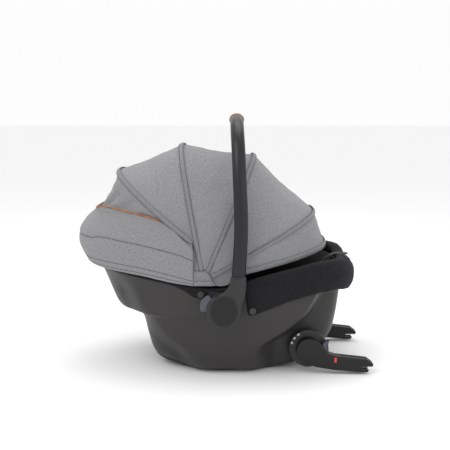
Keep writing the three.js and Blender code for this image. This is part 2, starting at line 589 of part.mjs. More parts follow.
const LOW_TURN = degToRad(2.2); // where the panels stop short of the pivot
function canopyPanel(from, to) {
  const middle = (from + to) / 2;
  const flat = (angle) => Math.cos(degToRad((to - from) / 2)) / Math.cos(degToRad(angle - middle));
  const point = (u, v) => {
    const angle = lerp(from, to, v);
    const reach = CANOPY_REACH(angle) * flat(angle);
    return archPoint(angle, lerp(LOW_TURN, Math.PI - LOW_TURN, u), reach, CANOPY_HALF_WIDTH);
  };
  return mirroredSheet(point, 18, 3, CANOPY_FABRIC);
}

// The fabric from the rear bow to the first folding one.
function rearPanelPoint(u, v) {
  const turn = 2 * u - 1;
  const along = 1 - 0.98 * Math.abs(turn) ** 1.6;
  const share = lerp(0.27, 1, along);
  const arch = Math.asin(share ** (CANOPY_ROUNDNESS / 2));
  const front = archPoint(BOWS[2].angle - EDGE, turn < 0 ? Math.PI - arch : arch, CANOPY_REACH(BOWS[2].angle), CANOPY_HALF_WIDTH);
  return rearBow(along, Math.sign(turn) || 1).lerp(front, lerp(0.03, 1, v));
}

function bow({ angle, reach, inset }) {
  const half = CANOPY_HALF_WIDTH - inset;
  const low = degToRad(0.25);
  const path = steps(17, (i) => archPoint(angle, lerp(low, Math.PI - low, i / 16), reach, half));
  const a = degToRad(angle);
  const tube = bar(path, V(Math.cos(a), 0, -Math.sin(a)), () => [BOW_RADIUS, BOW_RADIUS], 6);
  const eyes = [-1, 1].map((s) => disc(CANOPY_PIVOT, PIN_RADIUS + 4, ...span(s, half - BOW_RADIUS, half + BOW_RADIUS), 12));
  const pins = [-1, 1].map((s) => disc(CANOPY_PIVOT, PIN_RADIUS + RUN_GAP, ...span(s, half - 9, half + 9), 12));
  return cut(join(tube, ...eyes), ...pins);
}

function canopyBracket(side) {
  const outer = CANOPY_HALF_WIDTH - 3;
  const inner = CANOPY_HALF_WIDTH - BOWS[4].inset - 8;
  const footTop = CANOPY_PIVOT.z - PIN_RADIUS - 5.4;
  return join(
    block(CANOPY_PIVOT.x - 14, CANOPY_PIVOT.x + 14, ...span(side, inner - 4, outer - 8), footTop - 3, footTop),
    block(CANOPY_PIVOT.x - 10, CANOPY_PIVOT.x + 10, ...span(side, inner - 4, inner), footTop - 1, CANOPY_PIVOT.z + 9),
    disc(CANOPY_PIVOT, PIN_RADIUS, ...span(side, inner - 2, outer), 16),
  );
}

// ---------------------------------------------------------------- carry handle
const bootInner = HANDLE_HALF_WIDTH + HANDLE_TUBE.thickness / 2 - BOOT_THICKNESS;
const bootOuter = bootInner + BOOT_THICKNESS;
const HANDLE_LEAN = curve([[BOOT_TOP - 40, 34], [BOOT_TOP, 36], [332, 41], [450, 37], [HANDLE_TOP, 31]]);

function handlePath(count) {
  const rise = HANDLE_TOP - HANDLE_TUBE.thickness / 2 - BOOT_TOP;
  return steps(count, (i) => {
    const t = (Math.PI * i) / (count - 1);
    const z = BOOT_TOP + rise * Math.sin(t) ** (2 / 3.8);
    return V(HANDLE_LEAN(z), -HANDLE_HALF_WIDTH * power(Math.cos(t), 2 / 3.8), z);
  });
}

function handle() {
  const { depth, thickness } = HANDLE_TUBE;
  const joint = 2 * FIT_GAP;
  const path = handlePath(29);
  path[0].z += joint;
  path.at(-1).z += joint;
  add("handle_tube", bar(path, V(1, 0, 0), () => [depth / 2, thickness / 2], 10), TUBE_PAINT);
  const held = path.filter((p) => Math.abs(p.y) < GRIP.half + 5);
  const first = path.indexOf(held[0]);
  const oval = (grow) => () => [depth / 2 + grow, thickness / 2 + grow];
  const sleeve = bar(held, V(1, 0, 0), oval(GRIP.wall), 16);
  const bore = bar(path.slice(first - 1, first + held.length + 1), V(1, 0, 0), oval(0.5), 16);
  add("handle_grip", cut(sleeve, bore), TAN_LEATHER);
}

// The moulded boot: a round hub with a neck that rises to the tube.
const NECK = [[19, BOOT_TOP], [17.5, 212], [8, 198], [-11, 187]];
function boot(side) {
  const y = span(side, bootInner, bootOuter);
  const hubOutline = steps(18, (i) => {
    const t = degToRad(lerp(124, 372, i / 17));
    return [HUB.x + HUB.radius * Math.cos(t), HUB.z + HUB.radius * Math.sin(t)];
  });
  const outline = [...NECK, ...hubOutline, [49, 185], [52, 205], [52, BOOT_TOP]];
  const capWell = disc(HUB, CAP_RADIUS + FIT_GAP, ...(side < 0 ? [-bootOuter - 1, -bootOuter + 3] : [bootOuter - 3, bootOuter + 1]));
  const axleHole = disc(HUB, AXLE_RADIUS + RUN_GAP, ...span(side, bootInner - 1, bootInner + 10));
  return cut(plate(outline, ...y), capWell, axleHole, handleButton(side, RUN_GAP, BUTTON_TRAVEL));
}
const CAP_RADIUS = 29;
const BUTTON_TRAVEL = 4;
const BUTTON_ANGLE = 156; // degrees from +X, seen from the left side
const BUTTON_SPREAD = 24; // degrees from its middle to each end

// The crescent release button on the hub's head side, pressed towards the pivot. Its well is the same outline,
// larger by a gap all round and by the travel, which also carries the crescent's two ends outwards.
function handleButton(side, grow = 0, travel = 0) {
  const wall = 4;
  const y = span(side, bootInner + wall - grow, bootOuter - wall + grow);
  const arc = (r, from, to) => steps(8, (i) => {
    const t = degToRad(lerp(from, to, i / 7));
    return [HUB.x + r * Math.cos(t), HUB.z + r * Math.sin(t)];
  });
  const radius = HUB.radius - 6 - grow - travel;
  const spread = BUTTON_SPREAD + radToDeg((grow + travel * Math.sin(degToRad(BUTTON_SPREAD))) / radius);
  const outline = [
    ...arc(HUB.radius + 10, BUTTON_ANGLE - spread, BUTTON_ANGLE + spread).map(([x, z], i) => {
      const fin = 1 + 0.1 * Math.sin((Math.PI * i) / 7);
      return [lerp(HUB.x, x, fin), lerp(HUB.z, z, fin)];
    }),
    ...arc(radius, BUTTON_ANGLE + spread, BUTTON_ANGLE - spread),
  ];
  return plate(outline, ...y);
}

function handleSocket(side) {
  const y = span(side, SHELL_HALF_WIDTH + FIT_GAP, bootInner - FIT_GAP);
  return cut(disc(HUB, HUB.radius, ...y, 28), disc(HUB, AXLE_RADIUS + FIT_GAP, ...span(side, SHELL_HALF_WIDTH, bootInner)));
}

// ---------------------------------------------------------------- anchor connectors
const CONNECTOR_HALF = CONNECTOR_WIDTH / 2;
const armY = (side) => span(side, CONNECTOR_SPACING / 2 - CONNECTOR_HALF, CONNECTOR_SPACING / 2 + CONNECTOR_HALF);

function pivotPlate(side) {
  const face = CONNECTOR_SPACING / 2 - CONNECTOR_HALF - FIT_GAP;
  const dots = [161, 143, 125].map((angle) => {
    const t = degToRad(angle);
    const r = PIVOT_PLATE.dotRadius;
    const at = { x: CONNECTOR_PIVOT.x + r * Math.cos(t), z: CONNECTOR_PIVOT.z + r * Math.sin(t) };
    return disc(at, 2.6, ...span(side, PIVOT_PLATE.outer - 1, PIVOT_PLATE.outer + 1), 8);
  });
  const plateBody = disc(CONNECTOR_PIVOT, PIVOT_PLATE.radius, ...span(side, PIVOT_PLATE.inner, PIVOT_PLATE.outer), 28);
  const boss = disc(CONNECTOR_PIVOT, 20, ...span(side, PIVOT_PLATE.inner, face));
  const bore = disc(CONNECTOR_PIVOT, CROSS_TUBE_RADIUS + RUN_GAP, ...span(side, 90, 150));
  return cut(join(plateBody, boss, ...dots), bore);
}

const at = (x, z) => [CONNECTOR_PIVOT.x + x, CONNECTOR_PIVOT.z + z];
const SLOT = { z0: -41, inner: CONNECTOR_REACH - 26 };
function connectorArm(side) {
  const hub = steps(15, (i) => {
    const t = degToRad(lerp(50, 215, i / 14));
    return at(27.5 * Math.cos(t), 27.5 * Math.sin(t));
  });
  const outline = [
    at(CONNECTOR_REACH, -28), at(CONNECTOR_REACH - 14, -17.5), at(57, -10), at(40, -4), at(29, 12), ...hub,
    at(-6, -27), at(15, -35), at(50, -41), at(110, -46.5), at(CONNECTOR_REACH - 13, -46.5), at(CONNECTOR_REACH - 9, -42),
  ];
  const y = armY(side);
  const jaw = block(...[SLOT.inner, CONNECTOR_REACH + 2].map((x) => at(x, 0)[0]), y[0] - 1, y[1] + 1,
    at(0, SLOT.z0)[1], at(0, SLOT.z0 + ANCHOR_SLOT)[1]);
  const centre = (side * CONNECTOR_SPACING) / 2;
  const hookWell = block(at(74, 0)[0], at(CONNECTOR_REACH + 2, 0)[0], centre - 3, centre + 3, at(0, -41.5)[1], at(0, -8)[1]);
  const leverWell = block(at(23, 0)[0], at(56, 0)[0], centre - 8, centre + 8, at(0, -16)[1], at(0, 40)[1]);
  const window = block(at(55, 0)[0], at(61, 0)[0], ...(side < 0 ? [y[0] - 1, y[0] + 1.5] : [y[1] - 1.5, y[1] + 1]), at(0, -25)[1], at(0, -13)[1]);
  const bore = disc(CONNECTOR_PIVOT, CROSS_TUBE_RADIUS + 0.4, ...span(side, 120, 148));
  return cut(plate(outline, ...y), jaw, hookWell, leverWell, window, bore);
}

// The steel hook that closes over the anchor bar, turning on its own axis inside the arm.
const HOOK_PIN = at(86, -24);
function hook(side) {
  const centre = (side * CONNECTOR_SPACING) / 2;
  const outline = [
    [-9, -6], [0, -8], [18, -6], [27, -9.4], [37, -9.4], [41, -5], [43, -1], [36, 3], [20, 5], [0, 7], [-9, 6],
  ].map(([x, z]) => [HOOK_PIN[0] + x, HOOK_PIN[1] + z]);
  return plate(outline, centre - 2, centre + 2);
}

const LEVER_PIN = at(34, -2);
function releaseLever(side) {
  const centre = (side * CONNECTOR_SPACING) / 2;
  const outline = [[-5, -6], [6, -10], [9, -2], [9.5, 6], [8, 14], [10, 26], [2, 22], [-4, 17], [-6.5, 6]]
    .map(([x, z]) => [LEVER_PIN[0] + x, LEVER_PIN[1] + z]);
  return plate(outline, centre - 7, centre + 7);
}

function indicator(side) {
  const y = armY(side);
  const [x, z] = [at(58, 0)[0], at(0, -19)[1]];
  const depth = side < 0 ? [y[0] - 0.2, y[0] + 1.2] : [y[1] - 1.2, y[1] + 0.2];
  return block(x - 2.6, x + 2.6, ...depth, z - 5.6, z + 5.6);
}

// ---------------------------------------------------------------- assembly
add("shell", shell(), SHELL_PLASTIC);
add("foam_liner", foamLiner(), FOAM);
add("seat_lining", lining(), BLACK_FABRIC);
add("rim_pad", rimPad(), BLACK_FABRIC);
add("body_insert", bodyInsert(), BLACK_FABRIC);
harness();
adjuster();
headrest();

add("hood", sheet((u, v) => hoodPoint(2 * u - 1, v), 24, 5, CANOPY_FABRIC), GREY_FABRIC);
add("hood_gusset", sheet(gussetPoint, 16, 4, CANOPY_FABRIC), GREY_FABRIC);
add("canopy_bow_1", bar(rearBowPath(), V(0.65, 0, 0.76), () => [BOW_RADIUS, BOW_RADIUS], 6), BLACK_PLASTIC);
for (const key of [2, 3, 4]) add(`canopy_bow_${key}`, bow(BOWS[key]), BLACK_PLASTIC);
add("canopy_rear_panel", sheet(rearPanelPoint, 16, 4, CANOPY_FABRIC), GREY_FABRIC);
add("canopy_top_panel", canopyPanel(BOWS[2].angle + EDGE, BOWS[3].angle - EDGE), GREY_FABRIC);
add("canopy_front_panel", canopyPanel(BOWS[3].angle + EDGE, BOWS[4].angle - EDGE), GREY_FABRIC);
add("canopy_visor", canopyPanel(BOWS[4].angle + EDGE, VISOR_ANGLE), GREY_FABRIC);
addPair("canopy_bracket", canopyBracket, BLACK_PLASTIC);

handle();
addPair("handle_boot", boot, SHELL_PLASTIC);
addPair("boot_cap", (s) => disc(HUB, CAP_RADIUS, ...(s < 0 ? [-bootOuter - 0.5, -bootOuter + 2.7] : [bootOuter - 2.7, bootOuter + 0.5]), 28), BLACK_PLASTIC);
addPair("handle_button", (s) => handleButton(s), BUTTON_PLASTIC);
addPair("handle_socket", handleSocket, SHELL_PLASTIC);
addPair("handle_axle", (s) => disc(HUB, AXLE_RADIUS, ...span(s, SHELL_HALF_WIDTH - SHELL_WALL, bootInner + 9), 20), STEEL);

const STUD = { radius: 7, height: 3.5 };
const STUDS = { rear: { x: -44, z: 187, skirt: 2 }, front: { x: 66, z: 153, skirt: 8 } };
for (const [word, place] of Object.entries(STUDS)) {
  const base = SHELL_HALF_WIDTH + 2 * FIT_GAP + place.skirt + 0.2;
  addPair(`cover_stud_${word}`, (s) => disc(place, STUD.radius, ...span(s, base, base + STUD.height), 16), BLACK_PLASTIC);
}

addPair("pivot_plate", pivotPlate, BLACK_PLASTIC);
add("cross_tube", disc(CONNECTOR_PIVOT, CROSS_TUBE_RADIUS, -147, 147, 24), STEEL);
addPair("connector_arm", connectorArm, BLACK_PLASTIC);
addPair("anchor_hook", hook, STEEL);
addPair("release_lever", releaseLever, BUTTON_PLASTIC);
addPair("lock_indicator", indicator, RED_PLASTIC);

export default carSeat;
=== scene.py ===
"""Infant car seat: a moulded rocker shell with a foam and fabric seat, a leather-gripped carry handle, a
folding melange canopy on bows, and two rigid anchor connectors. Lengths are millimetres until skin() puts
them in metres."""

import json
from math import pi, radians

import bpy
import numpy as np
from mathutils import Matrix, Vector
from mathutils.bvhtree import BVHTree


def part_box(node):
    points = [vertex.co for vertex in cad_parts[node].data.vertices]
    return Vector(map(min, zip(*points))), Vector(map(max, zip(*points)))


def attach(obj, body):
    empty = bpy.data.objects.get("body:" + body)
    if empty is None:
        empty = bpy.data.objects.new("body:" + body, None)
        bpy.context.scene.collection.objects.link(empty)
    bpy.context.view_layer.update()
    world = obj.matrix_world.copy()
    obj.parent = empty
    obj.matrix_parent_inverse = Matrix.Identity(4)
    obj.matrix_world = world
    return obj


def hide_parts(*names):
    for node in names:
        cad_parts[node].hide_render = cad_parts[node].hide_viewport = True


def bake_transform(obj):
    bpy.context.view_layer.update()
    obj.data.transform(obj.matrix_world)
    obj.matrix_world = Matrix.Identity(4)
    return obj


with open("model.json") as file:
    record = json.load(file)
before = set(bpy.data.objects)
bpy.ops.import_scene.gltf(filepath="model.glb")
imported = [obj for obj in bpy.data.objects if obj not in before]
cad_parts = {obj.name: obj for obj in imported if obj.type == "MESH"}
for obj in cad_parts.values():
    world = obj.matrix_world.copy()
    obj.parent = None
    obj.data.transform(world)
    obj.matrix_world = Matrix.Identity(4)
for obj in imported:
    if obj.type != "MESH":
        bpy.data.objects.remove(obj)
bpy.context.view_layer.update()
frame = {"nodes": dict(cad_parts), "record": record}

# ============================================================ camera, floor and light
# A plain product set: a pale floor that runs to a pale backdrop, one large soft light from the upper left,
# a weaker one from the right, and a top light that picks out the handle and the canopy.
camera = bpy.data.objects.new("camera", bpy.data.cameras.new("camera"))
bpy.context.collection.objects.link(camera)
camera.location = (0.028, -2.0, 0.574)
camera.rotation_euler = (radians(90 - 7.53), 0, radians(0.66))
camera.data.sensor_width = 36
camera.data.lens = 69.6
bpy.context.scene.camera = camera


def soft_light(name, place, target, size, power):
    """An area light at a place in metres, turned to face the target."""
    data = bpy.data.lights.new(name, "AREA")
    data.size, data.energy = size, power
    light = bpy.data.objects.new(name, data)
    bpy.context.collection.objects.link(light)
    light.location = place
    light.rotation_euler = (Vector(target) - Vector(place)).to_track_quat("-Z", "Y").to_euler()


soft_light("key", (-1.3, -1.7, 2.3), (0, 0, 0.25), 1.6, 22)
soft_light("fill", (1.9, -1.9, 1.0), (0, 0, 0.2), 1.5, 6)
soft_light("top", (0.2, 0.5, 2.4), (0, 0, 0.2), 1.6, 15)
bpy.context.scene.view_settings.view_transform = "Standard"

world = bpy.data.worlds.new("studio")
bpy.context.scene.world = world
world.use_nodes = True
world.node_tree.nodes["Background"].inputs["Color"].default_value = (1, 1, 1, 1)
world.node_tree.nodes["Background"].inputs["Strength"].default_value = 0.98


def shader(name, color=(0.5, 0.5, 0.5), roughness=0.5, **sockets):
    """A material with one Principled BSDF: its plain values go on the shader's own sockets."""
    material = bpy.data.materials.new(name)
    material.use_nodes = True
    surface = material.node_tree.nodes["Principled BSDF"]
    surface.inputs["Base Color"].default_value = (*color, 1)
    surface.inputs["Roughness"].default_value = roughness
    for socket, value in sockets.items():
        surface.inputs[socket.replace("_", " ")].default_value = value
    return material


floor_mesh = bpy.data.meshes.new("floor")
floor_mesh.from_pydata([(-30, -30, 0), (30, -30, 0), (30, 30, 0), (-30, 30, 0)], [], [(0, 1, 2, 3)])
floor_mesh.materials.append(shader("floor_white", (0.93, 0.93, 0.93), 0.9))
floor = bpy.data.objects.new("floor", floor_mesh)
bpy.context.collection.objects.link(floor)

# ============================================================ moulded shell
# One injection-moulded polypropylene tub on a curved rocker: a bucket over a narrower base with a step
# between them, side walls pressed in behind the connectors and under the head, and a fine spark-eroded
# texture.
MM = 0.001


def corners(node):
    """A CAD node's lowest and highest corner in millimetres."""
    return [np.array(corner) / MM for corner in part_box(node)]


def smooth(t):
    """Rises from 0 to 1 as t goes from 0 to 1, level at both ends: three t squared less two t cubed."""
    t = np.clip(t, 0, 1)
    return t * t * (3 - 2 * t)


def mix(a, b, share):
    """The value a share of the way from a to b."""
    return a + (b - a) * share


def power(value, exponent):
    """The size of the value to the exponent, with the value's own sign."""
    return np.sign(value) * np.abs(value) ** exponent


def curve(*points):
    """A function through the [input, output] points: cubic between neighbours, with each point's slope the
    harmonic mean of the slopes beside it, or level where they change sign, and held level past the ends."""
    x, y = np.array(points, float).T
    slope = np.diff(y) / np.diff(x)
    before, after = slope[:-1], slope[1:]
    turning = before * after <= 0
    inner = np.where(turning, 0, 2 * before * after / np.where(turning, 1, before + after))
    tangent = np.r_[slope[0], inner, slope[-1]]

    def at(value):
        value = np.clip(np.asarray(value, float), x[0], x[-1])
        i = np.clip(np.searchsorted(x, value, side="right") - 1, 0, len(x) - 2)
        h = x[i + 1] - x[i]
        t = (value - x[i]) / h
        return (y[i] * (1 + 2 * t) * (1 - t) ** 2 + h * tangent[i] * t * (1 - t) ** 2
                + y[i + 1] * t * t * (3 - 2 * t) + h * tangent[i + 1] * t * t * (t - 1))

    return at


def stack(x, y, z):
    """Points from three arrays that broadcast together."""
    return np.stack(np.broadcast_arrays(x, y, z), -1).astype(float)


def skin(name, points, finish, rows_close=False, columns_close=False, caps=False, inside=None, sharp=40):
    """A mesh over rows x columns of points in millimetres, a face between each four neighbours. The rows or
    the columns may close on themselves, and caps puts a face over the first and the last row. A closed skin
    is turned so that its volume is positive, an open one so that it faces away from the inside point. Its
    UV map is in metres along the rows and the columns."""
    points = np.asarray(points, float)
    rows, columns = points.shape[:2]
    index = np.arange(rows * columns).reshape(rows, columns)
    if rows_close:
        index = np.vstack([index, index[:1]])
    if columns_close:
        index = np.hstack([index, index[:, :1]])
    quads = np.stack([index[:-1, :-1], index[:-1, 1:], index[1:, 1:], index[1:, :-1]], -1)
    flat = points.reshape(-1, 3)
    spread = flat[index]
    across = np.linalg.norm(np.diff(spread, axis=1), axis=2).mean(0)
    along = np.linalg.norm(np.diff(spread, axis=0), axis=2).mean(1)
    u, v = np.meshgrid(np.r_[0, np.cumsum(across)] * MM, np.r_[0, np.cumsum(along)] * MM)
    uv = np.stack([u, v], -1)
    corner_uv = np.stack([uv[:-1, :-1], uv[:-1, 1:], uv[1:, 1:], uv[1:, :-1]], -2).reshape(-1, 4, 2)
    faces = quads.reshape(-1, 4)
    a, b, c, d = (flat[faces[:, k]] for k in range(4))
    normal = np.cross(c - a, d - b)
    anchor = flat.mean(0) if inside is None else np.array(inside, float)
    outwards = np.einsum("ij,ij->", normal, (a + b + c + d) / 4 - anchor) > 0
    if not outwards:
        faces, corner_uv = faces[:, ::-1], corner_uv[:, ::-1]
    faces = faces.tolist()
    loops_uv = corner_uv.reshape(-1, 2)
    if caps:
        first, last = index[0, :columns], index[-1, :columns]
        turned = [first[::-1], last] if outwards else [first, last[::-1]]
        faces += [ring.tolist() for ring in turned]
        loops_uv = np.vstack([loops_uv, flat[np.concatenate(turned)][:, :2] * MM])
    mesh = bpy.data.meshes.new(name)
    mesh.from_pydata((flat * MM).tolist(), [], faces)
    mesh.uv_layers.new(name="along_cloth").data.foreach_set("uv", loops_uv.astype(np.float32).ravel())
    mesh.polygons.foreach_set("use_smooth", np.ones(len(mesh.polygons), bool))
    mesh.set_sharp_from_angle(angle=radians(sharp))
    mesh.materials.append(finish)
    piece = bpy.data.objects.new(name, mesh)
    bpy.context.collection.objects.link(piece)
    return piece


def place(piece, body, slot, *nodes):
    """Puts a finished piece on its CAD body and hides the CAD nodes it stands for; the slot it is given is not
    used.
    """
    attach(piece, body)
    if nodes:
        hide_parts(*nodes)
    return piece


def node_group(name, inputs, outputs):
    """A shader node group with named inputs and outputs, as (type, name, default) and (type, name)."""
    group = bpy.data.node_groups.new(name, "ShaderNodeTree")
    for kind, socket, default in inputs:
        made = group.interface.new_socket(name=socket, in_out="INPUT", socket_type="NodeSocket" + kind)
        if default is not None:
            made.default_value = default
    for kind, socket in outputs:
        group.interface.new_socket(name=socket, in_out="OUTPUT", socket_type="NodeSocket" + kind)
    return group, group.nodes.new("NodeGroupInput").outputs, group.nodes.new("NodeGroupOutput").inputs


def add_node(tree, kind, feeds=None, **settings):
    """A node of this kind, with its settings, and each socket that feeds names linked or set."""
    node = tree.nodes.new("ShaderNode" + kind)
    for key, value in settings.items():
        setattr(node, key, value)
    for socket, value in (feeds or {}).items():
        if isinstance(value, bpy.types.NodeSocket):
            tree.links.new(value, node.inputs[socket])
        else:
            node.inputs[socket].default_value = value
    return node


def math_node(tree, operation, a, b=0.0, clamp=False):
    """The result of one sum on two numbers or sockets."""
    return add_node(tree, "Math", {0: a, 1: b}, operation=operation, use_clamp=clamp).outputs[0]


# Moulded grain: fine pits from the tool's texture, with slow changes of gloss over the panel.
grain, given, out = node_group(
    "moulded_grain",
    [("Vector", "Place", None), ("Float", "Pits per metre", 900.0), ("Float", "Gloss", 0.45)],
    [("Float", "Height"), ("Float", "Roughness")],
)
pits = add_node(grain, "TexNoise", {"Vector": given["Place"], "Scale": given["Pits per metre"],
                                    "Detail": 2.0})
broad = add_node(grain, "TexNoise", {"Vector": given["Place"], "Scale": 14.0, "Detail": 3.0})
grain.links.new(pits.outputs["Fac"], out["Height"])
swing = math_node(grain, "MULTIPLY", math_node(grain, "SUBTRACT", broad.outputs["Fac"], 0.5), 0.22)
grain.links.new(math_node(grain, "ADD", given["Gloss"], swing, clamp=True), out["Roughness"])

# Edge wear: corners that hands and car seats rub go a little paler, in broken patches.
wear, given, out = node_group(
    "edge_wear",
    [("Vector", "Place", None), ("Color", "Color", (0.1, 0.1, 0.1, 1)), ("Float", "Amount", 0.5)],
    [("Color", "Color")],
)
bare = add_node(wear, "NewGeometry").outputs["Pointiness"]
edge = add_node(wear, "MapRange", {"Value": bare, "From Min": 0.52, "From Max": 0.6}).outputs["Result"]
patches = add_node(wear, "TexNoise", {"Vector": given["Place"], "Scale": 60.0, "Detail": 4.0}).outputs["Fac"]
rubbed = math_node(wear, "MULTIPLY", math_node(wear, "MULTIPLY", edge, patches), given["Amount"], clamp=True)
paler = add_node(wear, "Mix", {0: rubbed, 6: given["Color"], 7: (0.32, 0.31, 0.3, 1)}, data_type="RGBA")
wear.links.new(paler.outputs[2], out["Color"])


def plastic(name, color, gloss, pits=900.0, depth=0.00006, worn=0.12, **sockets):
    """Moulded plastic: even colour, paler at rubbed corners, with the tool's grain in its gloss and
    relief."""
    material = shader(name, color, gloss, **sockets)
    tree = material.node_tree
    surface = tree.nodes["Principled BSDF"]
    where = add_node(tree, "TexCoord").outputs["Object"]
    texture = add_node(tree, "Group", node_tree=grain)
    texture.inputs["Pits per metre"].default_value = pits
    texture.inputs["Gloss"].default_value = gloss
    tree.links.new(where, texture.inputs["Place"])
    tree.links.new(texture.outputs["Roughness"], surface.inputs["Roughness"])
    bump = add_node(tree, "Bump", {"Height": texture.outputs["Height"], "Distance": depth, "Strength": 1.0})
    tree.links.new(bump.outputs["Normal"], surface.inputs["Normal"])
    rub = add_node(tree, "Group", node_tree=wear)
    rub.inputs["Color"].default_value = (*color, 1)
    rub.inputs["Amount"].default_value = worn
    tree.links.new(where, rub.inputs["Place"])
    tree.links.new(rub.outputs["Color"], surface.inputs["Base Color"])
    return material


shell_low, shell_high = corners("shell")
HEAD_END, FOOT_END, HALF_WIDTH = shell_low[0], shell_high[0], shell_high[1]
RIM = 215  # the rim's nominal height, before it is bent to rim_line
WALL = 3.5
BASE_HEAD = -167
STEP = 134  # height of the step between the base and the bucket
ROCKER = {"middle": 20, "flat": 35, "radius": 420}
HEAD_ROUNDNESS, BASE_ROUNDNESS, FOOT_ROUNDNESS = 2.3, 3.6, 3.8

rim_line = curve((HEAD_END, 232), (-200, 222), (-100, 205), (-20, 193), (50, 200), (150, 222), (215, 235),
                 (FOOT_END, 237))
head_edge = curve(
    (0, BASE_HEAD + 11), (8, BASE_HEAD + 6), (25, BASE_HEAD + 2), (60, BASE_HEAD - 3),
    (STEP - 40, BASE_HEAD - 9),
    (STEP - 18, BASE_HEAD - 15), (STEP - 6, BASE_HEAD - 24), (STEP, BASE_HEAD - 42),
    (STEP + 5, HEAD_END + 51),
    (160, HEAD_END + 33), (RIM, HEAD_END))
foot_edge = curve((0, FOOT_END - 60), (8, FOOT_END - 46), (25, FOOT_END - 36), (60, FOOT_END - 28),
                  (120, FOOT_END - 16), (RIM, FOOT_END))
side_edge = curve((0, HALF_WIDTH - 74), (8, HALF_WIDTH - 52), (25, HALF_WIDTH - 34), (60, HALF_WIDTH - 20),
                  (110, HALF_WIDTH - 8), (150, HALF_WIDTH), (RIM, HALF_WIDTH))
PLATE_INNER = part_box("pivot_plate_right")[0][1] / MM
FOOT_RECESS = {"x": -20, "z": 330, "radius": 271, "run": 30, "depth": 90, "least": PLATE_INNER - 9,
               "from": 60, "top": 200}
HEAD_RECESS = {"x": 60, "z": 290, "radius": 262, "run": 44, "depth": 28, "least": 106, "from": 40, "top": 212}


def recess_depth(recess, x, z, toward):
    """How far a side wall steps in: nothing inside the recess's arc, its full depth one run beyond it, but
    never to less than its least half width."""
    beyond = (np.hypot(x - recess["x"], z - recess["z"]) - recess["radius"]) / recess["run"]
    side = smooth((toward * x - recess["from"]) / 60)
    depth = np.clip(side_edge(z) - recess["least"], 0, recess["depth"])
    return depth * smooth(beyond) * side * (1 - smooth((z - recess["top"] + 40) / 40))


def shell_point(height, turn, inset=0.0, lift=0.0):
    """The shell at a height and a turn round its plan, which is a superellipse, squarer at the foot end.
    The side walls step in by the recesses, the bottom rises as a rocker's arc, and the rim bends to
    rim_line."""
    middle, reach = (head_edge(height) + foot_edge(height)) / 2, (foot_edge(height) - head_edge(height)) / 2
    head_end = mix(BASE_ROUNDNESS, HEAD_ROUNDNESS, smooth((height - STEP + 15) / 85))
    roundness = mix(FOOT_ROUNDNESS, head_end, smooth((0.35 - np.cos(turn)) / 0.7))
    along = power(np.cos(turn), 2 / roundness)
    outer_x = middle + reach * along
    step_in = recess_depth(FOOT_RECESS, outer_x, height, 1) + recess_depth(HEAD_RECESS, outer_x, height, -1)
    x = outer_x - inset * along
    y = (side_edge(height) - step_in - inset) * power(np.sin(turn), 2 / roundness)
    off_flat = np.maximum(0, np.abs(x - ROCKER["middle"]) - ROCKER["flat"])
    rocker = off_flat**2 / (2 * ROCKER["radius"]) * (1 - smooth(height / 90))
    bend = (rim_line(x) - RIM) * smooth((height - 120) / (RIM - 120))
    return stack(x, y, height + lift + rocker + bend)


def even_turns(count):
    """Turns that space points evenly along the rim."""
    fine = np.linspace(0, 2 * pi, 6001)
    length = np.r_[0, np.cumsum(np.linalg.norm(np.diff(shell_point(RIM, fine), axis=0), axis=1))]
    return np.interp(np.linspace(0, length[-1], count, endpoint=False), length, fine)


def bowl_floor(ring, shares):
    """Rows that draw a ring in towards its middle, keeping the rocker's rise under each point."""
    middle = ring.mean(0)
    rows = middle + (ring - middle) * shares[:, None, None]
    off_flat = np.maximum(0, np.abs(rows[..., 0] - ROCKER["middle"]) - ROCKER["flat"])
    rows[..., 2] = ring[:, 2].min() + off_flat**2 / (2 * ROCKER["radius"])
    return rows


turns = even_turns(280)
heights = np.r_[0, 1, 2.5, 4.5, 7, 10, 14, np.linspace(19, 110, 22), np.linspace(114, 146, 26),
                np.linspace(151, RIM - 2, 20)]
outside = shell_point(heights[:, None], turns)
rim_round = [shell_point(RIM - 0.6, turns, 0.2), shell_point(RIM, turns, 1.2),
             shell_point(RIM, turns, WALL - 1.2),
             shell_point(RIM - 0.6, turns, WALL - 0.2)]
inner_heights = np.linspace(RIM - 3, 0, 44)
within = shell_point(inner_heights[:, None], turns, WALL, np.where(inner_heights > 60, 0, WALL)[:, None])
shares = np.linspace(0.02, 1, 14)
shell_rows = np.concatenate([bowl_floor(outside[0], shares)[:-1], outside, rim_round, within,
                             bowl_floor(within[-1], shares)[:-1][::-1]])
shell_finish = plastic("shell_plastic", (0.029, 0.0275, 0.0265), 0.45, pits=1400.0, Specular_IOR_Level=0.35)
place(skin("carrier_shell", shell_rows, shell_finish, columns_close=True, caps=True), "carrier", "shell",
      "shell")

# ============================================================ foam liner and seat lining
# Bead foam fills the tub and a thin knitted cover lies over it, sunk to the shape of a baby's back and
# legs.
SEAT_LINE = curve((-262, 205), (-200, 172), (-120, 138), (-40, 112), (40, 95), (110, 92), (170, 112),
                  (230, 165),
                  (258, 205))
PAD_INNER = 18  # how far the padded rim reaches in over the foam
RIM_DROP = 6
MIDDLE = (HEAD_END + FOOT_END) / 2


def bowl_point(share, turn, rise=0.0, inset=WALL + PAD_INNER):
    """The seat's bowl: share 0 is the middle of the floor and 1 the inner edge of the padded rim. The
    height goes from the seat line to just under the rim by the share's fourth power."""
    edge = shell_point(RIM, turn, inset)
    x = mix(MIDDLE, edge[..., 0], share)
    height = mix(SEAT_LINE(x), rim_line(x) - RIM_DROP, share**4)
    return stack(x, edge[..., 1] * share, height + rise)


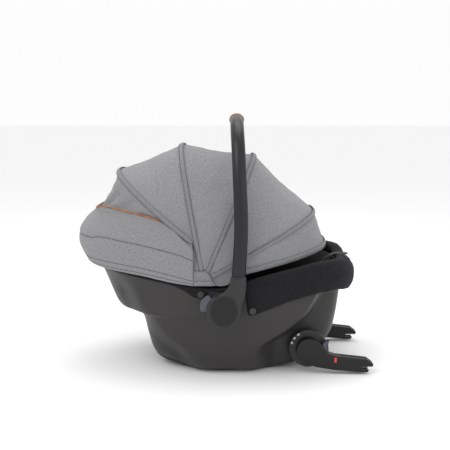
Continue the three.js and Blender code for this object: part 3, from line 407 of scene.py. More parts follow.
def waves(points, length, seed, layers=3):
    """Soft random height between about -1 and 1 over points: sines in random directions, halved layer by
    layer."""
    random = np.random.default_rng(seed)
    total = np.zeros(points.shape[:-1])
    for layer in range(layers):
        direction = random.normal(size=(7, 3))
        direction *= 2 * pi * 2**layer / length / np.linalg.norm(direction, axis=1, keepdims=True)
        phase = random.uniform(0, 2 * pi, 7)
        total += np.sin(points @ direction.T + phase).sum(-1) / 3.5 / 2**layer
    return total


# Woven or knitted threads: two sets of ridges along the cloth's own directions, mottled as melange yarn is.
threads, given, out = node_group(
    "threads",
    [("Vector", "Place", None), ("Float", "Threads per metre", 700.0), ("Float", "Fleck", 500.0)],
    [("Float", "Tone"), ("Float", "Height")],
)
split = add_node(threads, "SeparateXYZ", {"Vector": given["Place"]}).outputs
turn_rate = math_node(threads, "MULTIPLY", given["Threads per metre"], 2 * pi)
ridge = [math_node(threads, "SINE", math_node(threads, "MULTIPLY", split[k], turn_rate)) for k in (0, 1)]
crossing = math_node(threads, "MULTIPLY", ridge[0], ridge[1])
tones = []
for stretch in ((1.0, 0.22, 1.0), (0.22, 1.0, 1.0)):
    drawn = add_node(threads, "VectorMath", {0: given["Place"], 1: stretch}, operation="MULTIPLY").outputs[0]
    tones.append(add_node(threads, "TexNoise",
                          {"Vector": drawn, "Scale": given["Fleck"], "Detail": 2.0}).outputs["Fac"])
tone = math_node(threads, "MULTIPLY", math_node(threads, "ADD", tones[0], tones[1]), 0.5)
threads.links.new(tone, out["Tone"])
threads.links.new(math_node(threads, "ADD", math_node(threads, "MULTIPLY", crossing, 0.5), tone),
                  out["Height"])


def cloth(name, dark, light, per_metre, fleck, depth, roughness=0.9, contrast=(0.36, 0.64),
          object_place=False, **sockets):
    """Cloth: two yarn colours flecked along the threads, with the weave's relief, dull but for a soft
    fuzz."""
    material = shader(name, light, roughness, **sockets)
    tree = material.node_tree
    surface = tree.nodes["Principled BSDF"]
    where = add_node(tree, "TexCoord").outputs["Object" if object_place else "UV"]
    weave = add_node(tree, "Group", node_tree=threads)
    weave.inputs["Threads per metre"].default_value = per_metre
    weave.inputs["Fleck"].default_value = fleck
    tree.links.new(where, weave.inputs["Place"])
    ramp = add_node(tree, "ValToRGB", {"Fac": weave.outputs["Tone"]})
    for stop, position, color in zip(ramp.color_ramp.elements, contrast, (dark, light)):
        stop.position = position
        stop.color = (*color, 1)
    tree.links.new(ramp.outputs["Color"], surface.inputs["Base Color"])
    bump = add_node(tree, "Bump", {"Height": weave.outputs["Height"], "Distance": depth, "Strength": 1.0})
    tree.links.new(bump.outputs["Normal"], surface.inputs["Normal"])
    return material


black_knit = cloth("black_knit", (0.006, 0.006, 0.007), (0.015, 0.015, 0.017), 900.0, 700.0, 0.0002,
                   Sheen_Weight=0.03, Sheen_Roughness=0.5, Specular_IOR_Level=0.2)
black_knit_soft = cloth("black_knit_soft", (0.006, 0.006, 0.007), (0.015, 0.015, 0.017), 900.0, 700.0, 0.0002,
                        object_place=True, Sheen_Weight=0.03, Sheen_Roughness=0.5, Specular_IOR_Level=0.2)
foam_finish = plastic("bead_foam", (0.045, 0.045, 0.047), 0.85, pits=260.0, depth=0.0004, worn=0.1)
bowl_shares = np.linspace(0.03, 1, 46)[:, None]
foam_top = bowl_point(bowl_shares, turns)
foam_side = [shell_point(h, turns, WALL + 1.5) for h in (RIM - 8, RIM - 40, 150, 128)]
foam_under = bowl_point(np.linspace(0.72, 0.03, 12)[:, None], turns, -24)
foam_rows = np.concatenate([foam_top, foam_side, foam_under])
place(skin("bead_foam_liner", foam_rows, foam_finish, columns_close=True, caps=True), "carrier", "foam",
      "foam_liner")

LINING_INSET = WALL + PAD_INNER + 0.4
lining_shares = np.linspace(0.03, 1, 60)[:, None]
quilting = 1.1 * np.abs(np.sin(bowl_point(lining_shares, turns)[..., 0] * pi / 62)) ** 0.5
lining_top = bowl_point(lining_shares, turns, 3.6 + quilting, LINING_INSET)
lining_top[..., 2] += 0.8 * waves(lining_top, 90, 3) * (1 - lining_shares**6)
lining_under = bowl_point(lining_shares, turns, 1.5, LINING_INSET)
lining = skin("seat_lining_cover", np.concatenate([lining_top, lining_under[::-1]]), black_knit,
              columns_close=True, caps=True)
place(lining, "carrier", "black_fabric", "seat_lining")

# ============================================================ padded rim of the cover
# The cover turns out over the rim of the tub: thin under the hood, and a thick soft bolster round the feet,
# with a top panel sewn to a side panel along a seam. Its lower edge tucks behind the hubs and is held by
# snap studs.
skirt_low = curve((-290, 230), (-200, 219), (-113, 206), (-84, 196), (-54, 179), (-38, 177), (-24, 193.4),
                  (44, 193.4), (50, 190),
                  (56, 141), (95, 153), (145, 171), (192, 184), (240, 190), (262, 186), (FOOT_END, 178))
pad_bulge = curve((-290, 2), (40, 2), (60, 7), (110, 9), (200, 12), (255, 16), (FOOT_END, 20))
pad_crown = curve((-290, 4), (20, 4), (60, 12), (150, 14), (FOOT_END, 14))


def rim_frame(turn):
    """The rim's points at these turns, and the level directions that point away from the seat there."""
    step = 0.004
    ahead = shell_point(RIM, turn + step) - shell_point(RIM, turn - step)
    away = stack(ahead[..., 1], -ahead[..., 0], 0)
    return shell_point(RIM, turn), away / np.linalg.norm(away, axis=-1, keepdims=True)


def rim_pad_rows(turn):
    """One closed section for each turn, as distance out from the rim and height: up the side panel's bulge,
    in at the seam, over the crown of the top panel, down its inner face, and back under."""
    at, away = rim_frame(turn)
    x = at[:, 0]
    beside_strap = smooth((np.abs(at[:, 1]) - 25) / 60)
    low, bulge = skirt_low(x), pad_bulge(x)
    crown = pad_crown(x) - 10 * (1 - beside_strap) * smooth((x - 200) / 50)
    top = at[:, 2] + 0.6 + crown
    thick = smooth((x - 40) / 40)
    around = np.linspace(0, 1, 19)[:, None]
    side_out = 0.9 + bulge * np.sin(pi * np.clip(around * 0.93 + 0.05, 0, 1)) ** 0.55
    side_up = mix(low, top - 1.5, around)
    seam_in = 2.2 * thick * np.exp(-(((around - 0.86) / 0.035) ** 2))
    side = [side_out - seam_in, side_up]
    over = np.linspace(0, 1, 15)[1:, None]
    crown_out = mix(side_out[-1], -PAD_INNER, over)
    crown_up = mix(side_up[-1], top - 2, over) + (1.5 + 3.5 * thick) * np.sin(pi * over) ** 0.6
    inner = np.array([[-PAD_INNER, 1.0], [-PAD_INNER + 1, 0.0], [-4.0, 0.2], [0.9, 0.2]])
    inner_out = np.broadcast_to(inner[:, :1], (4, len(x)))
    inner_up = rim_line(x + away[:, 0] * inner[:, :1]) + 1.0 + inner[:, 1:] * (top - 6 - at[:, 2])
    outs = np.concatenate([side[0], crown_out, inner_out])
    ups = np.concatenate([side[1], crown_up, inner_up])
    section = at[None] + away[None] * outs[..., None]
    section[..., 2] = ups
    return section


pad_turns = even_turns(420)
pad_rows = rim_pad_rows(pad_turns)
soft = smooth((pad_rows[..., 0] - 40) / 60)
outward = np.broadcast_to(rim_frame(pad_turns)[1], pad_rows.shape)
pad_rows += outward * (0.9 * soft * waves(pad_rows, 55, 11))[..., None]
pad_rows[..., 2] += 0.7 * soft * waves(pad_rows, 70, 12)
rim_pad = skin("padded_rim", pad_rows, black_knit, rows_close=True, columns_close=True)
place(rim_pad, "carrier", "black_fabric", "rim_pad")

# ============================================================ hood at the head end
# The fixed rear of the canopy: a deep band of melange cloth round the head end, hemmed at the bottom, with
# a seam part way up, and tan piping where the loose gusset under the first bow begins.
HOOD_WIDEST, HOOD_FRONT = 281, -60
hood_head = curve((222, HEAD_END - 7), (240, -312), (254, -321), (HOOD_WIDEST, -331), (303, -329),
                  (330, -314),
                  (352, -290))
hood_half = curve((204, HALF_WIDTH + 6), (HOOD_WIDEST, HALF_WIDTH + 4), (352, HALF_WIDTH - 10))
hood_hem = curve((-290, 232), (-180, 223), (-100, 210), (-60, 205))
hood_top = curve((-290, 352), (-265, 362), (-200, 354), (-128, 338), (-60, 282))
REAR_FOOT, REAR_TOP = np.array([-57.0, 0, 290]), np.array([-237.0, 0, 439])
REAR_HALF, REAR_ROUNDNESS = HALF_WIDTH - 8, 2.4
INSIDE = (-60, 0, 250)

melange = cloth("melange", (0.150, 0.152, 0.160), (0.285, 0.286, 0.300), 900.0, 800.0, 0.00018, 0.95,
                Sheen_Weight=0.12, Sheen_Roughness=0.6)
# A darker copy of the melange, used on the bow channels, the visor hem and the pivot patches: painted shade
# along the sewn channels and seams.
melange_painted_shade = cloth("melange_painted_shade", (0.125, 0.127, 0.135), (0.245, 0.246, 0.26), 900.0, 800.0, 0.00018, 0.95,
                     Sheen_Weight=0.12, Sheen_Roughness=0.6)


def hood_point(turn, share):
    """The hood at a turn from -1 at the left front edge round the head to 1, and a share from hem to top
    edge. Its plan is half a superellipse whose reach and half width change with height, so the height is
    settled in steps."""
    middle = -5

    def plan(z):
        reach, half = middle - hood_head(z), hood_half(z)
        start = np.arccos(np.minimum(1, (middle - HOOD_FRONT) / reach) ** (HEAD_ROUNDNESS / 2))
        angle = start * turn
        x = middle - reach * np.cos(angle) ** (2 / HEAD_ROUNDNESS)
        return x, half * power(np.sin(angle), 2 / HEAD_ROUNDNESS)

    z = np.full(np.broadcast(turn, share).shape, float(HOOD_WIDEST))
    for _ in range(8):
        x = plan(z)[0]
        z = mix(hood_hem(x), hood_top(x), share)
    x, y = plan(z)
    return stack(x, y, z)


def surface_normals(grid):
    """Unit normals of a grid of points, from the steps along its rows and columns."""
    normal = np.cross(np.gradient(grid, axis=1), np.gradient(grid, axis=0))
    return normal / np.maximum(np.linalg.norm(normal, axis=-1, keepdims=True), 1e-9)


def away_from(grid, inside):
    """Unit normals of a grid, all turned away from an inside point."""
    normal = surface_normals(grid)
    side = np.sign(np.einsum("ijk,ijk->", normal, grid - np.array(inside, float)))
    return normal * side


def thicken(piece, thickness, rim=True):
    """Cloth thickness, grown inwards from the modelled outer face."""
    wall = piece.modifiers.new("thickness", "SOLIDIFY")
    wall.thickness, wall.offset, wall.use_rim = thickness * MM, -1, rim


def cloth_sheet(name, grid, finish, body, nodes=(), thickness=1.6):
    """A cut of cloth from a grid of points, thickened and put on its body, with the CAD nodes it stands for
    hidden."""
    piece = skin(name, grid, finish, inside=INSIDE)
    thicken(piece, thickness)
    if body:
        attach(piece, body)
    if nodes:
        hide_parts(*nodes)
    return piece


stitch_thread = shader("stitch_thread", (0.028, 0.028, 0.032), 0.8)


def stitches(name, path, body, slot, finish=stitch_thread, length=3.6, gap=1.3, radius=0.6):
    """A row of thread stitches along a path: each is a small six-sided spindle whose radius goes by the
    sine of its length, half sunk in the cloth."""
    path = np.asarray(path, float)
    run = np.r_[0, np.cumsum(np.linalg.norm(np.diff(path, axis=0), axis=1))]
    starts = np.arange(gap, run[-1] - length, length + gap)
    at = (starts[:, None] + np.linspace(0, length, 5)).ravel()
    line = np.stack([np.interp(at, run, path[:, k]) for k in range(3)], 1).reshape(len(starts), 5, 3)
    ahead = line[:, -1] - line[:, 0]
    ahead /= np.linalg.norm(ahead, axis=1, keepdims=True)
    first = np.cross(ahead, np.where(np.abs(ahead[:, :1]) > 0.8, [0, 1.0, 0], [1.0, 0, 0]))
    first /= np.linalg.norm(first, axis=1, keepdims=True)
    second = np.cross(ahead, first)
    angle = np.arange(6) * pi / 3
    thick = radius * np.sin(np.linspace(0.12, 0.88, 5) * pi)[None, :, None, None]
    ring = first[:, None] * np.cos(angle)[:, None] + second[:, None] * np.sin(angle)[:, None]
    points = line[:, :, None] + ring[:, None] * thick
    index = np.arange(points[..., 0].size).reshape(points.shape[:3])
    ahead_of = np.roll(index, -1, axis=2)
    sides = np.stack([index[:, :-1], ahead_of[:, :-1], ahead_of[:, 1:], index[:, 1:]], -1).reshape(-1, 4)
    ends = np.concatenate([index[:, 0, ::-1], index[:, -1]])
    mesh = bpy.data.meshes.new(name)
    mesh.from_pydata((points.reshape(-1, 3) * MM).tolist(), [], sides.tolist() + ends.tolist())
    mesh.polygons.foreach_set("use_smooth", np.ones(len(mesh.polygons), bool))
    mesh.materials.append(finish)
    piece = bpy.data.objects.new(name, mesh)
    bpy.context.collection.objects.link(piece)
    return place(piece, body, slot)


turn, share = np.meshgrid(np.linspace(-1, 1, 241), np.linspace(0, 1, 90))
hood_grid = hood_point(turn, share)
normals = away_from(hood_grid, (-60, 0, 280))
band = curve((0, 0.55), (0.5, 0.53), (0.85, 0.52), (1, 0.68))(np.abs(turn))
groove = -2.4 * np.exp(-(((share - band) / 0.018) ** 2))
hem_roll = 1.2 * np.exp(-(((share - 0.03) / 0.03) ** 2)) - 1.0 * np.exp(-(((share - 0.13) / 0.014) ** 2))
creases = 1.3 * waves(hood_grid * np.array([1, 1, 0.45]), 120, 21) * np.sin(pi * share)
hood_grid += normals * (groove + hem_roll + creases)[..., None]
cloth_sheet("hood_band", hood_grid, melange, "carrier", ["hood"])


def hood_row(at):
    """The hood's modelled surface along a share that may change with the column."""
    row = np.clip(np.broadcast_to(at, hood_grid.shape[1]) * (len(hood_grid) - 1), 0, len(hood_grid) - 1.001)
    below, columns = row.astype(int), np.arange(hood_grid.shape[1])
    return mix(hood_grid[below, columns], hood_grid[below + 1, columns], (row - below)[:, None])


for word, at in (("seam", band[0]), ("hem_low", 0.05), ("hem_high", 0.13)):
    stitches(f"hood_stitches_{word}", hood_row(at), "carrier", "grey_fabric", radius=0.8)


def rear_bow(along, side, half=REAR_HALF, inset=0.0):
    """The first bow's arch in a leaning plane: along goes from 0 at its foot to 1 at the top, where the
    height has gone by the superellipse's sine and the half width by its cosine."""
    sine = along ** (REAR_ROUNDNESS / 2)
    across = half * np.sqrt(np.maximum(0, 1 - sine * sine)) ** (2 / REAR_ROUNDNESS)
    lean = REAR_TOP - REAR_FOOT
    reach = 1 - inset / np.linalg.norm(lean)
    at = REAR_FOOT + lean * (along * reach)[..., None]
    return stack(at[..., 0], side * across, at[..., 2])


def gusset_point(turn, up):
    """The gusset between the piping and the first bow, straight from one to the other and sagging
    between."""
    high = rear_bow(mix(1, 0.03, np.abs(turn) ** 1.6), np.where(turn < 0, -1.0, 1.0))
    low = hood_point(turn, np.full(turn.shape, 0.95))
    low = np.array(INSIDE, float) + (low - np.array(INSIDE, float)) * 0.982
    sag = 9 * np.sin(pi * up) * (1 - turn * turn)
    point = mix(low, high, up[..., None])
    return point + stack(sag, 0, -0.4 * sag)


turn, up = np.meshgrid(np.linspace(-1, 1, 181), np.linspace(0, 1, 40))
gusset_grid = gusset_point(turn, up)
folds = 2.6 * np.sin(pi * up) * np.sin(9.5 * pi * turn + 2.2 * up + 1.3 * np.sin(5 * turn)) * (1 - turn**4)
gusset_grid += away_from(gusset_grid, INSIDE) * (folds + 1.6 * waves(gusset_grid, 60,
                                                                     5) * np.sin(pi * up))[..., None]
cloth_sheet("hood_gusset_cloth", gusset_grid, melange, "carrier", ["hood_gusset"])


def tube(name, path, half_sizes, finish, sides=24, across=(0, 1, 0), caps=True, closed=False):
    """A bar along a path of points: its section is an ellipse of the two half sizes, the first one lying as
    near to the across direction as the path allows. Its ends are rounded over by a quarter of an
    ellipse."""
    path = np.asarray(path, float)
    ahead = np.gradient(path, axis=0)
    if closed:
        ahead = np.roll(path, -1, 0) - np.roll(path, 1, 0)
    ahead /= np.linalg.norm(ahead, axis=1, keepdims=True)
    first = np.array(across, float) - ahead * (ahead @ np.array(across, float))[:, None]
    first /= np.linalg.norm(first, axis=1, keepdims=True)
    second = np.cross(ahead, first)
    sizes = np.broadcast_to(np.asarray(half_sizes, float), (len(path), 2))
    angle = np.linspace(0, 2 * pi, sides, endpoint=False)
    ring = (first[:, None] * (sizes[:, :1] * np.cos(angle))[..., None]
            + second[:, None] * (sizes[:, 1:] * np.sin(angle))[..., None])
    rows = path[:, None] + ring
    if not closed:
        bulge = np.sin(np.linspace(0.25, 1, 4)[:-1] * pi / 2)[:, None, None]
        start, end = path[0] + ring[0] * bulge, path[-1] + ring[-1] * bulge
        rows = np.concatenate([start, rows, end[::-1]])
    return skin(name, rows, finish, rows_close=closed, columns_close=True, caps=caps and not closed)


def leather(name, dark, light):
    """Leather: a pebbled grain of close cells in its relief, mottled at random from dark to light, with a dull
    polish.
    """
    material = shader(name, light, 0.5, Coat_Weight=0.05)
    tree = material.node_tree
    surface = tree.nodes["Principled BSDF"]
    where = add_node(tree, "TexCoord").outputs["Object"]
    cells = add_node(tree, "TexVoronoi", {"Vector": where, "Scale": 620.0}).outputs["Distance"]
    mottle = add_node(tree, "TexNoise", {"Vector": where, "Scale": 70.0, "Detail": 5.0}).outputs["Fac"]
    ramp = add_node(tree, "ValToRGB", {"Fac": mottle})
    for stop, position, color in zip(ramp.color_ramp.elements, (0.35, 0.68), (dark, light)):
        stop.position, stop.color = position, (*color, 1)
    tree.links.new(ramp.outputs["Color"], surface.inputs["Base Color"])
    bump = add_node(tree, "Bump", {"Height": cells, "Distance": 0.0003, "Strength": 0.8})
    tree.links.new(bump.outputs["Normal"], surface.inputs["Normal"])
    return material


tan_leather = leather("tan_leather", (0.20, 0.062, 0.016), (0.40, 0.145, 0.045))
piping_turn = np.linspace(-0.84, 0.84, 160)
piping_path = hood_point(piping_turn, np.ones(160))
piping_path[:, 2] += 1.8
piping = tube("hood_piping", piping_path, (1.8, 1.8), tan_leather, sides=12, across=(0, 0, 1))
place(piping, "carrier", "tan_leather")

# ============================================================ canopy bows and panels
# Four bows of round plastic rod carry the canopy. Each is sewn into a channel of doubled cloth with one or two
# rows of stitches, and the panels between them are pulled straight from bow to bow, as on a canopy that folds
# like a fan.
PIVOT = np.array([-38.0, 0, 214])
CANOPY_HALF, CANOPY_ROUNDNESS = HALF_WIDTH - 4, 2.7
canopy_reach = curve((-38, 294), (-11, 288), (22.9, 281), (61.5, 279.5), (78.3, 279))
BOWS = {2: {"angle": -11, "reach": 280, "inset": 9}, 3: {"angle": 22.9, "reach": 273, "inset": 16},
        4: {"angle": 61.5, "reach": 271, "inset": 23}}
VISOR_ANGLE = 78.3


def arch_point(angle, turn, reach, half):
    """The canopy's arch in a plane through the pivots, tilted by an angle in degrees from upright: a
    superellipse whose height goes by the turn's sine and half width by its cosine."""
    sine, cosine = np.sin(turn) ** (2 / CANOPY_ROUNDNESS), power(np.cos(turn), 2 / CANOPY_ROUNDNESS)
    tilt = np.radians(angle)
    return stack(PIVOT[0] + reach * sine * np.sin(tilt), half * cosine,
                 PIVOT[2] + reach * sine * np.cos(tilt))


def even_arch(count, low=0.02):
    """Turns that space points evenly along an arch, starting just above the pivots."""
    fine = np.linspace(low, pi - low, 3001)
    length = np.r_[0, np.cumsum(np.linalg.norm(np.diff(arch_point(0, fine, 285, CANOPY_HALF), axis=0),
                                               axis=1))]
    return np.interp(np.linspace(0, length[-1], count), length, fine)


def panel_grid(start, end, columns=181, rows=26, sag=5.0, seed=1, drop=0.0):
    """Cloth from the arch at one angle to the arch at another, pulled flat between them and sagging a
    little, with puckers that run out from the sewn edges. Near the pivots the last edge may drop by some
    degrees more."""
    arch = even_arch(columns)
    angle = mix(start, end + drop * (1 - smooth(np.sin(arch) / 0.2)), np.linspace(0, 1, rows)[:, None])
    middle, half_span = (start + end) / 2, np.radians((end - start) / 2)
    pulled = canopy_reach(angle) * np.cos(half_span) / np.cos(np.radians(angle - middle))
    across = np.broadcast_to(np.linspace(0, 1, rows)[:, None], angle.shape)
    grid = arch_point(angle, arch, pulled - sag * np.sin(pi * across) * np.sin(arch) ** 0.7, CANOPY_HALF)
    near_edges = np.exp(-across / 0.09) + np.exp(-(1 - across) / 0.09)
    pucker = np.sin(arch * 58 + 2.0 * np.sin(arch * 9)) * near_edges
    slack = waves(grid, 80, seed) * np.sin(pi * across)
    grid += away_from(grid, INSIDE) * (0.45 * pucker * np.sin(arch) ** 0.5 + 1.5 * slack)[..., None]
    return grid


def rear_panel_grid(columns=181, rows=26):
    """Cloth from the first bow to the second, straight between matching points of their arches."""
    turn, across = np.meshgrid(np.linspace(-1, 1, columns), np.linspace(0, 1, rows))
    up = 1 - np.abs(turn) ** 1.6
    arch = np.arcsin(mix(0.03, 1, up) ** (CANOPY_ROUNDNESS / 2))
    arch = np.where(turn < 0, pi - arch, arch)
    side = np.where(turn < 0, -1.0, 1.0)
    front = arch_point(BOWS[2]["angle"], arch, canopy_reach(BOWS[2]["angle"]), CANOPY_HALF)
    low = np.clip(up / 0.18, 0, 1)
    hood_edge = stack(mix(-64, -59, low), side * mix(190, REAR_HALF, low), mix(212, 290, low))
    rear = np.where((up < 0.18)[..., None], hood_edge, rear_bow(np.clip((up - 0.18) / 0.82, 0, 1), side))
    grid = mix(rear, front, across[..., None])
    slack = 1.6 * waves(grid, 80, 31) * np.sin(pi * across) - 4 * np.sin(pi * across) * up
    return grid + away_from(grid, INSIDE) * slack[..., None]


def fan_middle(angle):
    """A point at the canopy's reach on the middle of the arch at this angle, in metres."""
    return tuple(arch_point(angle, np.array(pi / 2), canopy_reach(angle), CANOPY_HALF) * MM)


rear_panel = cloth_sheet("canopy_rear_cloth", rear_panel_grid(), melange, None,
                         ["canopy_rear_panel"])
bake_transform(rear_panel)
for name, node, first, second, seed in (
        ("canopy_top_cloth", "canopy_top_panel", 2, 3, 41),
        ("canopy_front_cloth", "canopy_front_panel", 3, 4, 42)):
    start, end = BOWS[first]["angle"], BOWS[second]["angle"]
    panel = cloth_sheet(name, panel_grid(start, end, seed=seed), melange, None, [node])
    fan_middle(start)
    fan_middle(end)
    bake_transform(panel)
visor_grid = panel_grid(BOWS[4]["angle"], VISOR_ANGLE, rows=20, sag=1.5, seed=43, drop=34)
cloth_sheet("canopy_visor_cloth", visor_grid, melange, "bow_4", ["canopy_visor"])


def seam_strip(name, centre, body, width=12.0, lift=1.0, low=0.03, lines=(3, 21)):
    """A channel of doubled cloth over a bow: across its width it rises as half a cosine between two stitch
    lines, which are pulled down into it. centre(turn) gives its middle line, and lines the rows that are
    stitched."""
    middle = centre(even_arch(221, low))
    ahead = np.gradient(middle, axis=0)
    outward = middle - np.array(INSIDE, float)
    outward -= ahead * (np.einsum("ij,ij->i", outward, ahead) / np.einsum("ij,ij->i", ahead, ahead))[:, None]
    outward /= np.linalg.norm(outward, axis=1, keepdims=True)
    sideways = np.cross(ahead, outward)
    sideways /= np.linalg.norm(sideways, axis=1, keepdims=True)
    across = np.linspace(-1, 1, 25)[:, None]
    pull = 1.3 * np.exp(-(((np.abs(across) - 0.75) / 0.11) ** 2))
    height = lift + 2.2 * np.cos(across * pi / 2) ** 0.7 - pull
    grid = middle[None] + sideways[None] * (across * width / 2)[..., None] + outward[None] * height[..., None]
    # The channel takes the darker copy of the melange: painted shade along the channel.
    piece = skin(name, grid, melange_painted_shade, inside=INSIDE)
    thicken(piece, 1.2)
    place(piece, body, "grey_fabric")
    for row in lines:
        stitches(f"{name}_stitches_{row}", grid[row] + outward * 0.2, body, "grey_fabric")


for key, bow in BOWS.items():
    seam_strip(f"bow_channel_{key}",
               lambda arch, a=bow["angle"]: arch_point(a, arch, canopy_reach(a), CANOPY_HALF), f"bow_{key}",
               lines=(21,) if key == 4 else (3, 21))
seam_strip("bow_channel_1", lambda arch: rear_bow(np.sin(arch) ** (2 / REAR_ROUNDNESS),
                                                  np.sign(np.cos(arch))),
           "carrier", low=0.02, lines=(21,))
seam_strip("visor_hem", lambda arch: arch_point(VISOR_ANGLE - 1.2, arch, canopy_reach(VISOR_ANGLE),
                                                CANOPY_HALF),
           "bow_4", width=13.0, lift=0.2, low=0.2, lines=())

# A patch of doubled cloth on each side hides the canopy's pivot, with a turned hem along its lower edge.
across, up = np.meshgrid(np.linspace(0, 1, 26), np.linspace(0, 1, 22))
for side, sign in (("left", -1), ("right", 1)):
    patch_x = mix(mix(-65, -61, up), mix(-13, -31, up), across)
    puff = np.sin(pi * across) ** 0.5 * (1.4 - 1.0 * np.exp(-(((up - 0.34) / 0.05) ** 2)))
    patch = stack(patch_x, sign * (194 - 2 * up + puff), mix(205, 236, up))
    # The patch takes the darker copy of the melange: painted shade round the pivot.
    cloth_sheet(f"pivot_patch_{side}", patch, melange_painted_shade, "carrier")
    stitches(f"pivot_patch_stitches_{side}", patch[7] + [0, sign * 0.3, 0], "carrier", "grey_fabric")

bow_plastic = plastic("bow_plastic", (0.022, 0.021, 0.023), 0.5)
for key, bow in BOWS.items():
    rod = arch_point(bow["angle"], even_arch(121, 0.005), bow["reach"], CANOPY_HALF - bow["inset"])
    place(tube(f"bow_rod_{key}", rod, (3, 3), bow_plastic, sides=14, across=(1, 0, 0)), f"bow_{key}",
          "black_plastic",
          f"canopy_bow_{key}")
arch = even_arch(121, 0.05)
rear_rod = rear_bow(np.sin(arch) ** (2 / REAR_ROUNDNESS), np.sign(np.cos(arch)),
                    CANOPY_HALF - BOWS[4]["inset"] - 12, 8.0)
place(tube("bow_rod_1", rear_rod, (3, 3), bow_plastic, sides=14, across=(1, 0, 1)), "carrier",
      "black_plastic",
      "canopy_bow_1")

# ============================================================ carry handle
# An oval aluminium tube bent to a broad arch and painted dark grey, pushed into moulded boots that turn on
# the hubs. A stitched leather sleeve covers the middle, where the hand goes.
tube_high = corners("handle_tube")[1]
grip_high = corners("handle_grip")[1]
boot_low, boot_high = corners("handle_boot_left")
TUBE_DEPTH, TUBE_THICK = 29, 22
HANDLE_TOP, BOOT_TOP = tube_high[2], boot_high[2]
HANDLE_HALF = tube_high[1] - TUBE_THICK / 2
HANDLE_ROUNDNESS = 3.8
handle_lean = curve((BOOT_TOP - 40, 34), (BOOT_TOP, 36), (332, 41), (450, 37), (HANDLE_TOP, 31))


def handle_path(count):
    """The handle's middle line: a superellipse arch from boot to boot that leans by handle_lean."""
    fine = np.linspace(0, pi, 4001)

    def arch(t):
        z = BOOT_TOP + (HANDLE_TOP - TUBE_THICK / 2 - BOOT_TOP) * np.sin(t) ** (2 / HANDLE_ROUNDNESS)
        return stack(handle_lean(z), -HANDLE_HALF * power(np.cos(t), 2 / HANDLE_ROUNDNESS), z)

    length = np.r_[0, np.cumsum(np.linalg.norm(np.diff(arch(fine), axis=0), axis=1))]
    return arch(np.interp(np.linspace(0, length[-1], count), length, fine))


tube_paint = plastic("tube_paint", (0.009, 0.009, 0.011), 0.36, pits=2600.0, depth=0.00002, worn=0.0,
                     Coat_Weight=0.1,
                     Coat_Roughness=0.25, Specular_IOR_Level=0.3)
line = handle_path(240)
place(tube("handle_tube_bent", line, (TUBE_DEPTH / 2, TUBE_THICK / 2), tube_paint, sides=40,
           across=(1, 0, 0)),
      "handle", "tube_paint", "handle_tube")
held = line[np.abs(line[:, 1]) < grip_high[1]]
ends = np.abs(np.linspace(-1, 1, len(held)))
swell = 2.2 - 1.3 * smooth((ends - 0.93) / 0.07)
place(tube("handle_grip_leather", held, np.stack([TUBE_DEPTH / 2 + swell, TUBE_THICK / 2 + swell], 1),
           tan_leather,
           sides=40, across=(1, 0, 0)), "handle", "tan_leather", "handle_grip")

HUB = np.array([4.4, 154.7])
HUB_RADIUS = 37.5


def offset_ring(outline, inset):
    """A closed outline in a plane moved inwards by an inset, along the mean of the two edges' normals."""
    edge = np.roll(outline, -1, 0) - outline
    normal = np.stack([-edge[:, 1], edge[:, 0]], 1) / np.linalg.norm(edge, axis=1, keepdims=True)
    corner = normal + np.roll(normal, 1, 0)
    corner /= np.maximum(np.einsum("ij,ij->i", corner, corner), 0.8)[:, None] / 2
    return outline + corner * inset


def even_outline(points, spacing):
    """A closed outline through the points, cut into even steps of about the spacing."""
    loop = np.vstack([points, points[:1]])
    length = np.r_[0, np.cumsum(np.linalg.norm(np.diff(loop, axis=0), axis=1))]
    at = np.linspace(0, length[-1], max(12, int(length[-1] / spacing)), endpoint=False)
    return np.stack([np.interp(at, length, loop[:, k]) for k in (0, 1)], 1)


def rounded(outline, passes):
    """Softens an outline's corners by averaging each point with its neighbours."""
    for _ in range(passes):
        outline = (np.roll(outline, 1, 0) + 2 * outline + np.roll(outline, -1, 0)) / 4
    return outline


def moulded_plate(name, outline, y0, y1, radius, finish, dome=0.0):
    """A plate of an X-Z outline from y0 to y1 whose two rims are rounded by a radius. A dome raises the
    middle of both faces by rings drawn in towards the outline's middle."""
    area = 0.5 * np.sum(outline[:, 0] * np.roll(outline[:, 1], -1) - np.roll(outline[:, 0], -1) * outline[:,
                                                                                                          1])
    outline = outline if area > 0 else outline[::-1]
    bend = np.linspace(0, pi / 2, 6)
    insets, depths = radius * (1 - np.sin(bend)), radius * (1 - np.cos(bend))
    rings = [(inset, y0 + depth) for inset, depth in zip(insets, depths)]
    rings += [(inset, y1 - depth) for inset, depth in zip(insets[::-1], depths[::-1])]
    rows = [np.insert(offset_ring(outline, inset), 1, y, axis=1) for inset, y in rings]
    if dome:
        shares = np.array([0.85, 0.6, 0.3, 0.06])
        middle = outline.mean(0)
        for end, y, sign in ((0, y0, -1), (-1, y1, 1)):
            flat = rows[end][:, [0, 2]]
            rows_in = [np.insert(middle + (flat - middle) * s, 1, y + sign * dome * (1 - s * s),
                                 axis=1) for s in shares]
            rows = rows_in[::-1] + rows if end == 0 else rows + rows_in
    return skin(name, np.array(rows), finish, columns_close=True, caps=True, sharp=50)


def arc(centre, radius, start, end, count):
    """Points along an arc in X-Z, between two angles in degrees."""
    angle = np.radians(np.linspace(start, end, count))
    return np.stack([centre[0] + radius * np.cos(angle), centre[1] + radius * np.sin(angle)], 1)


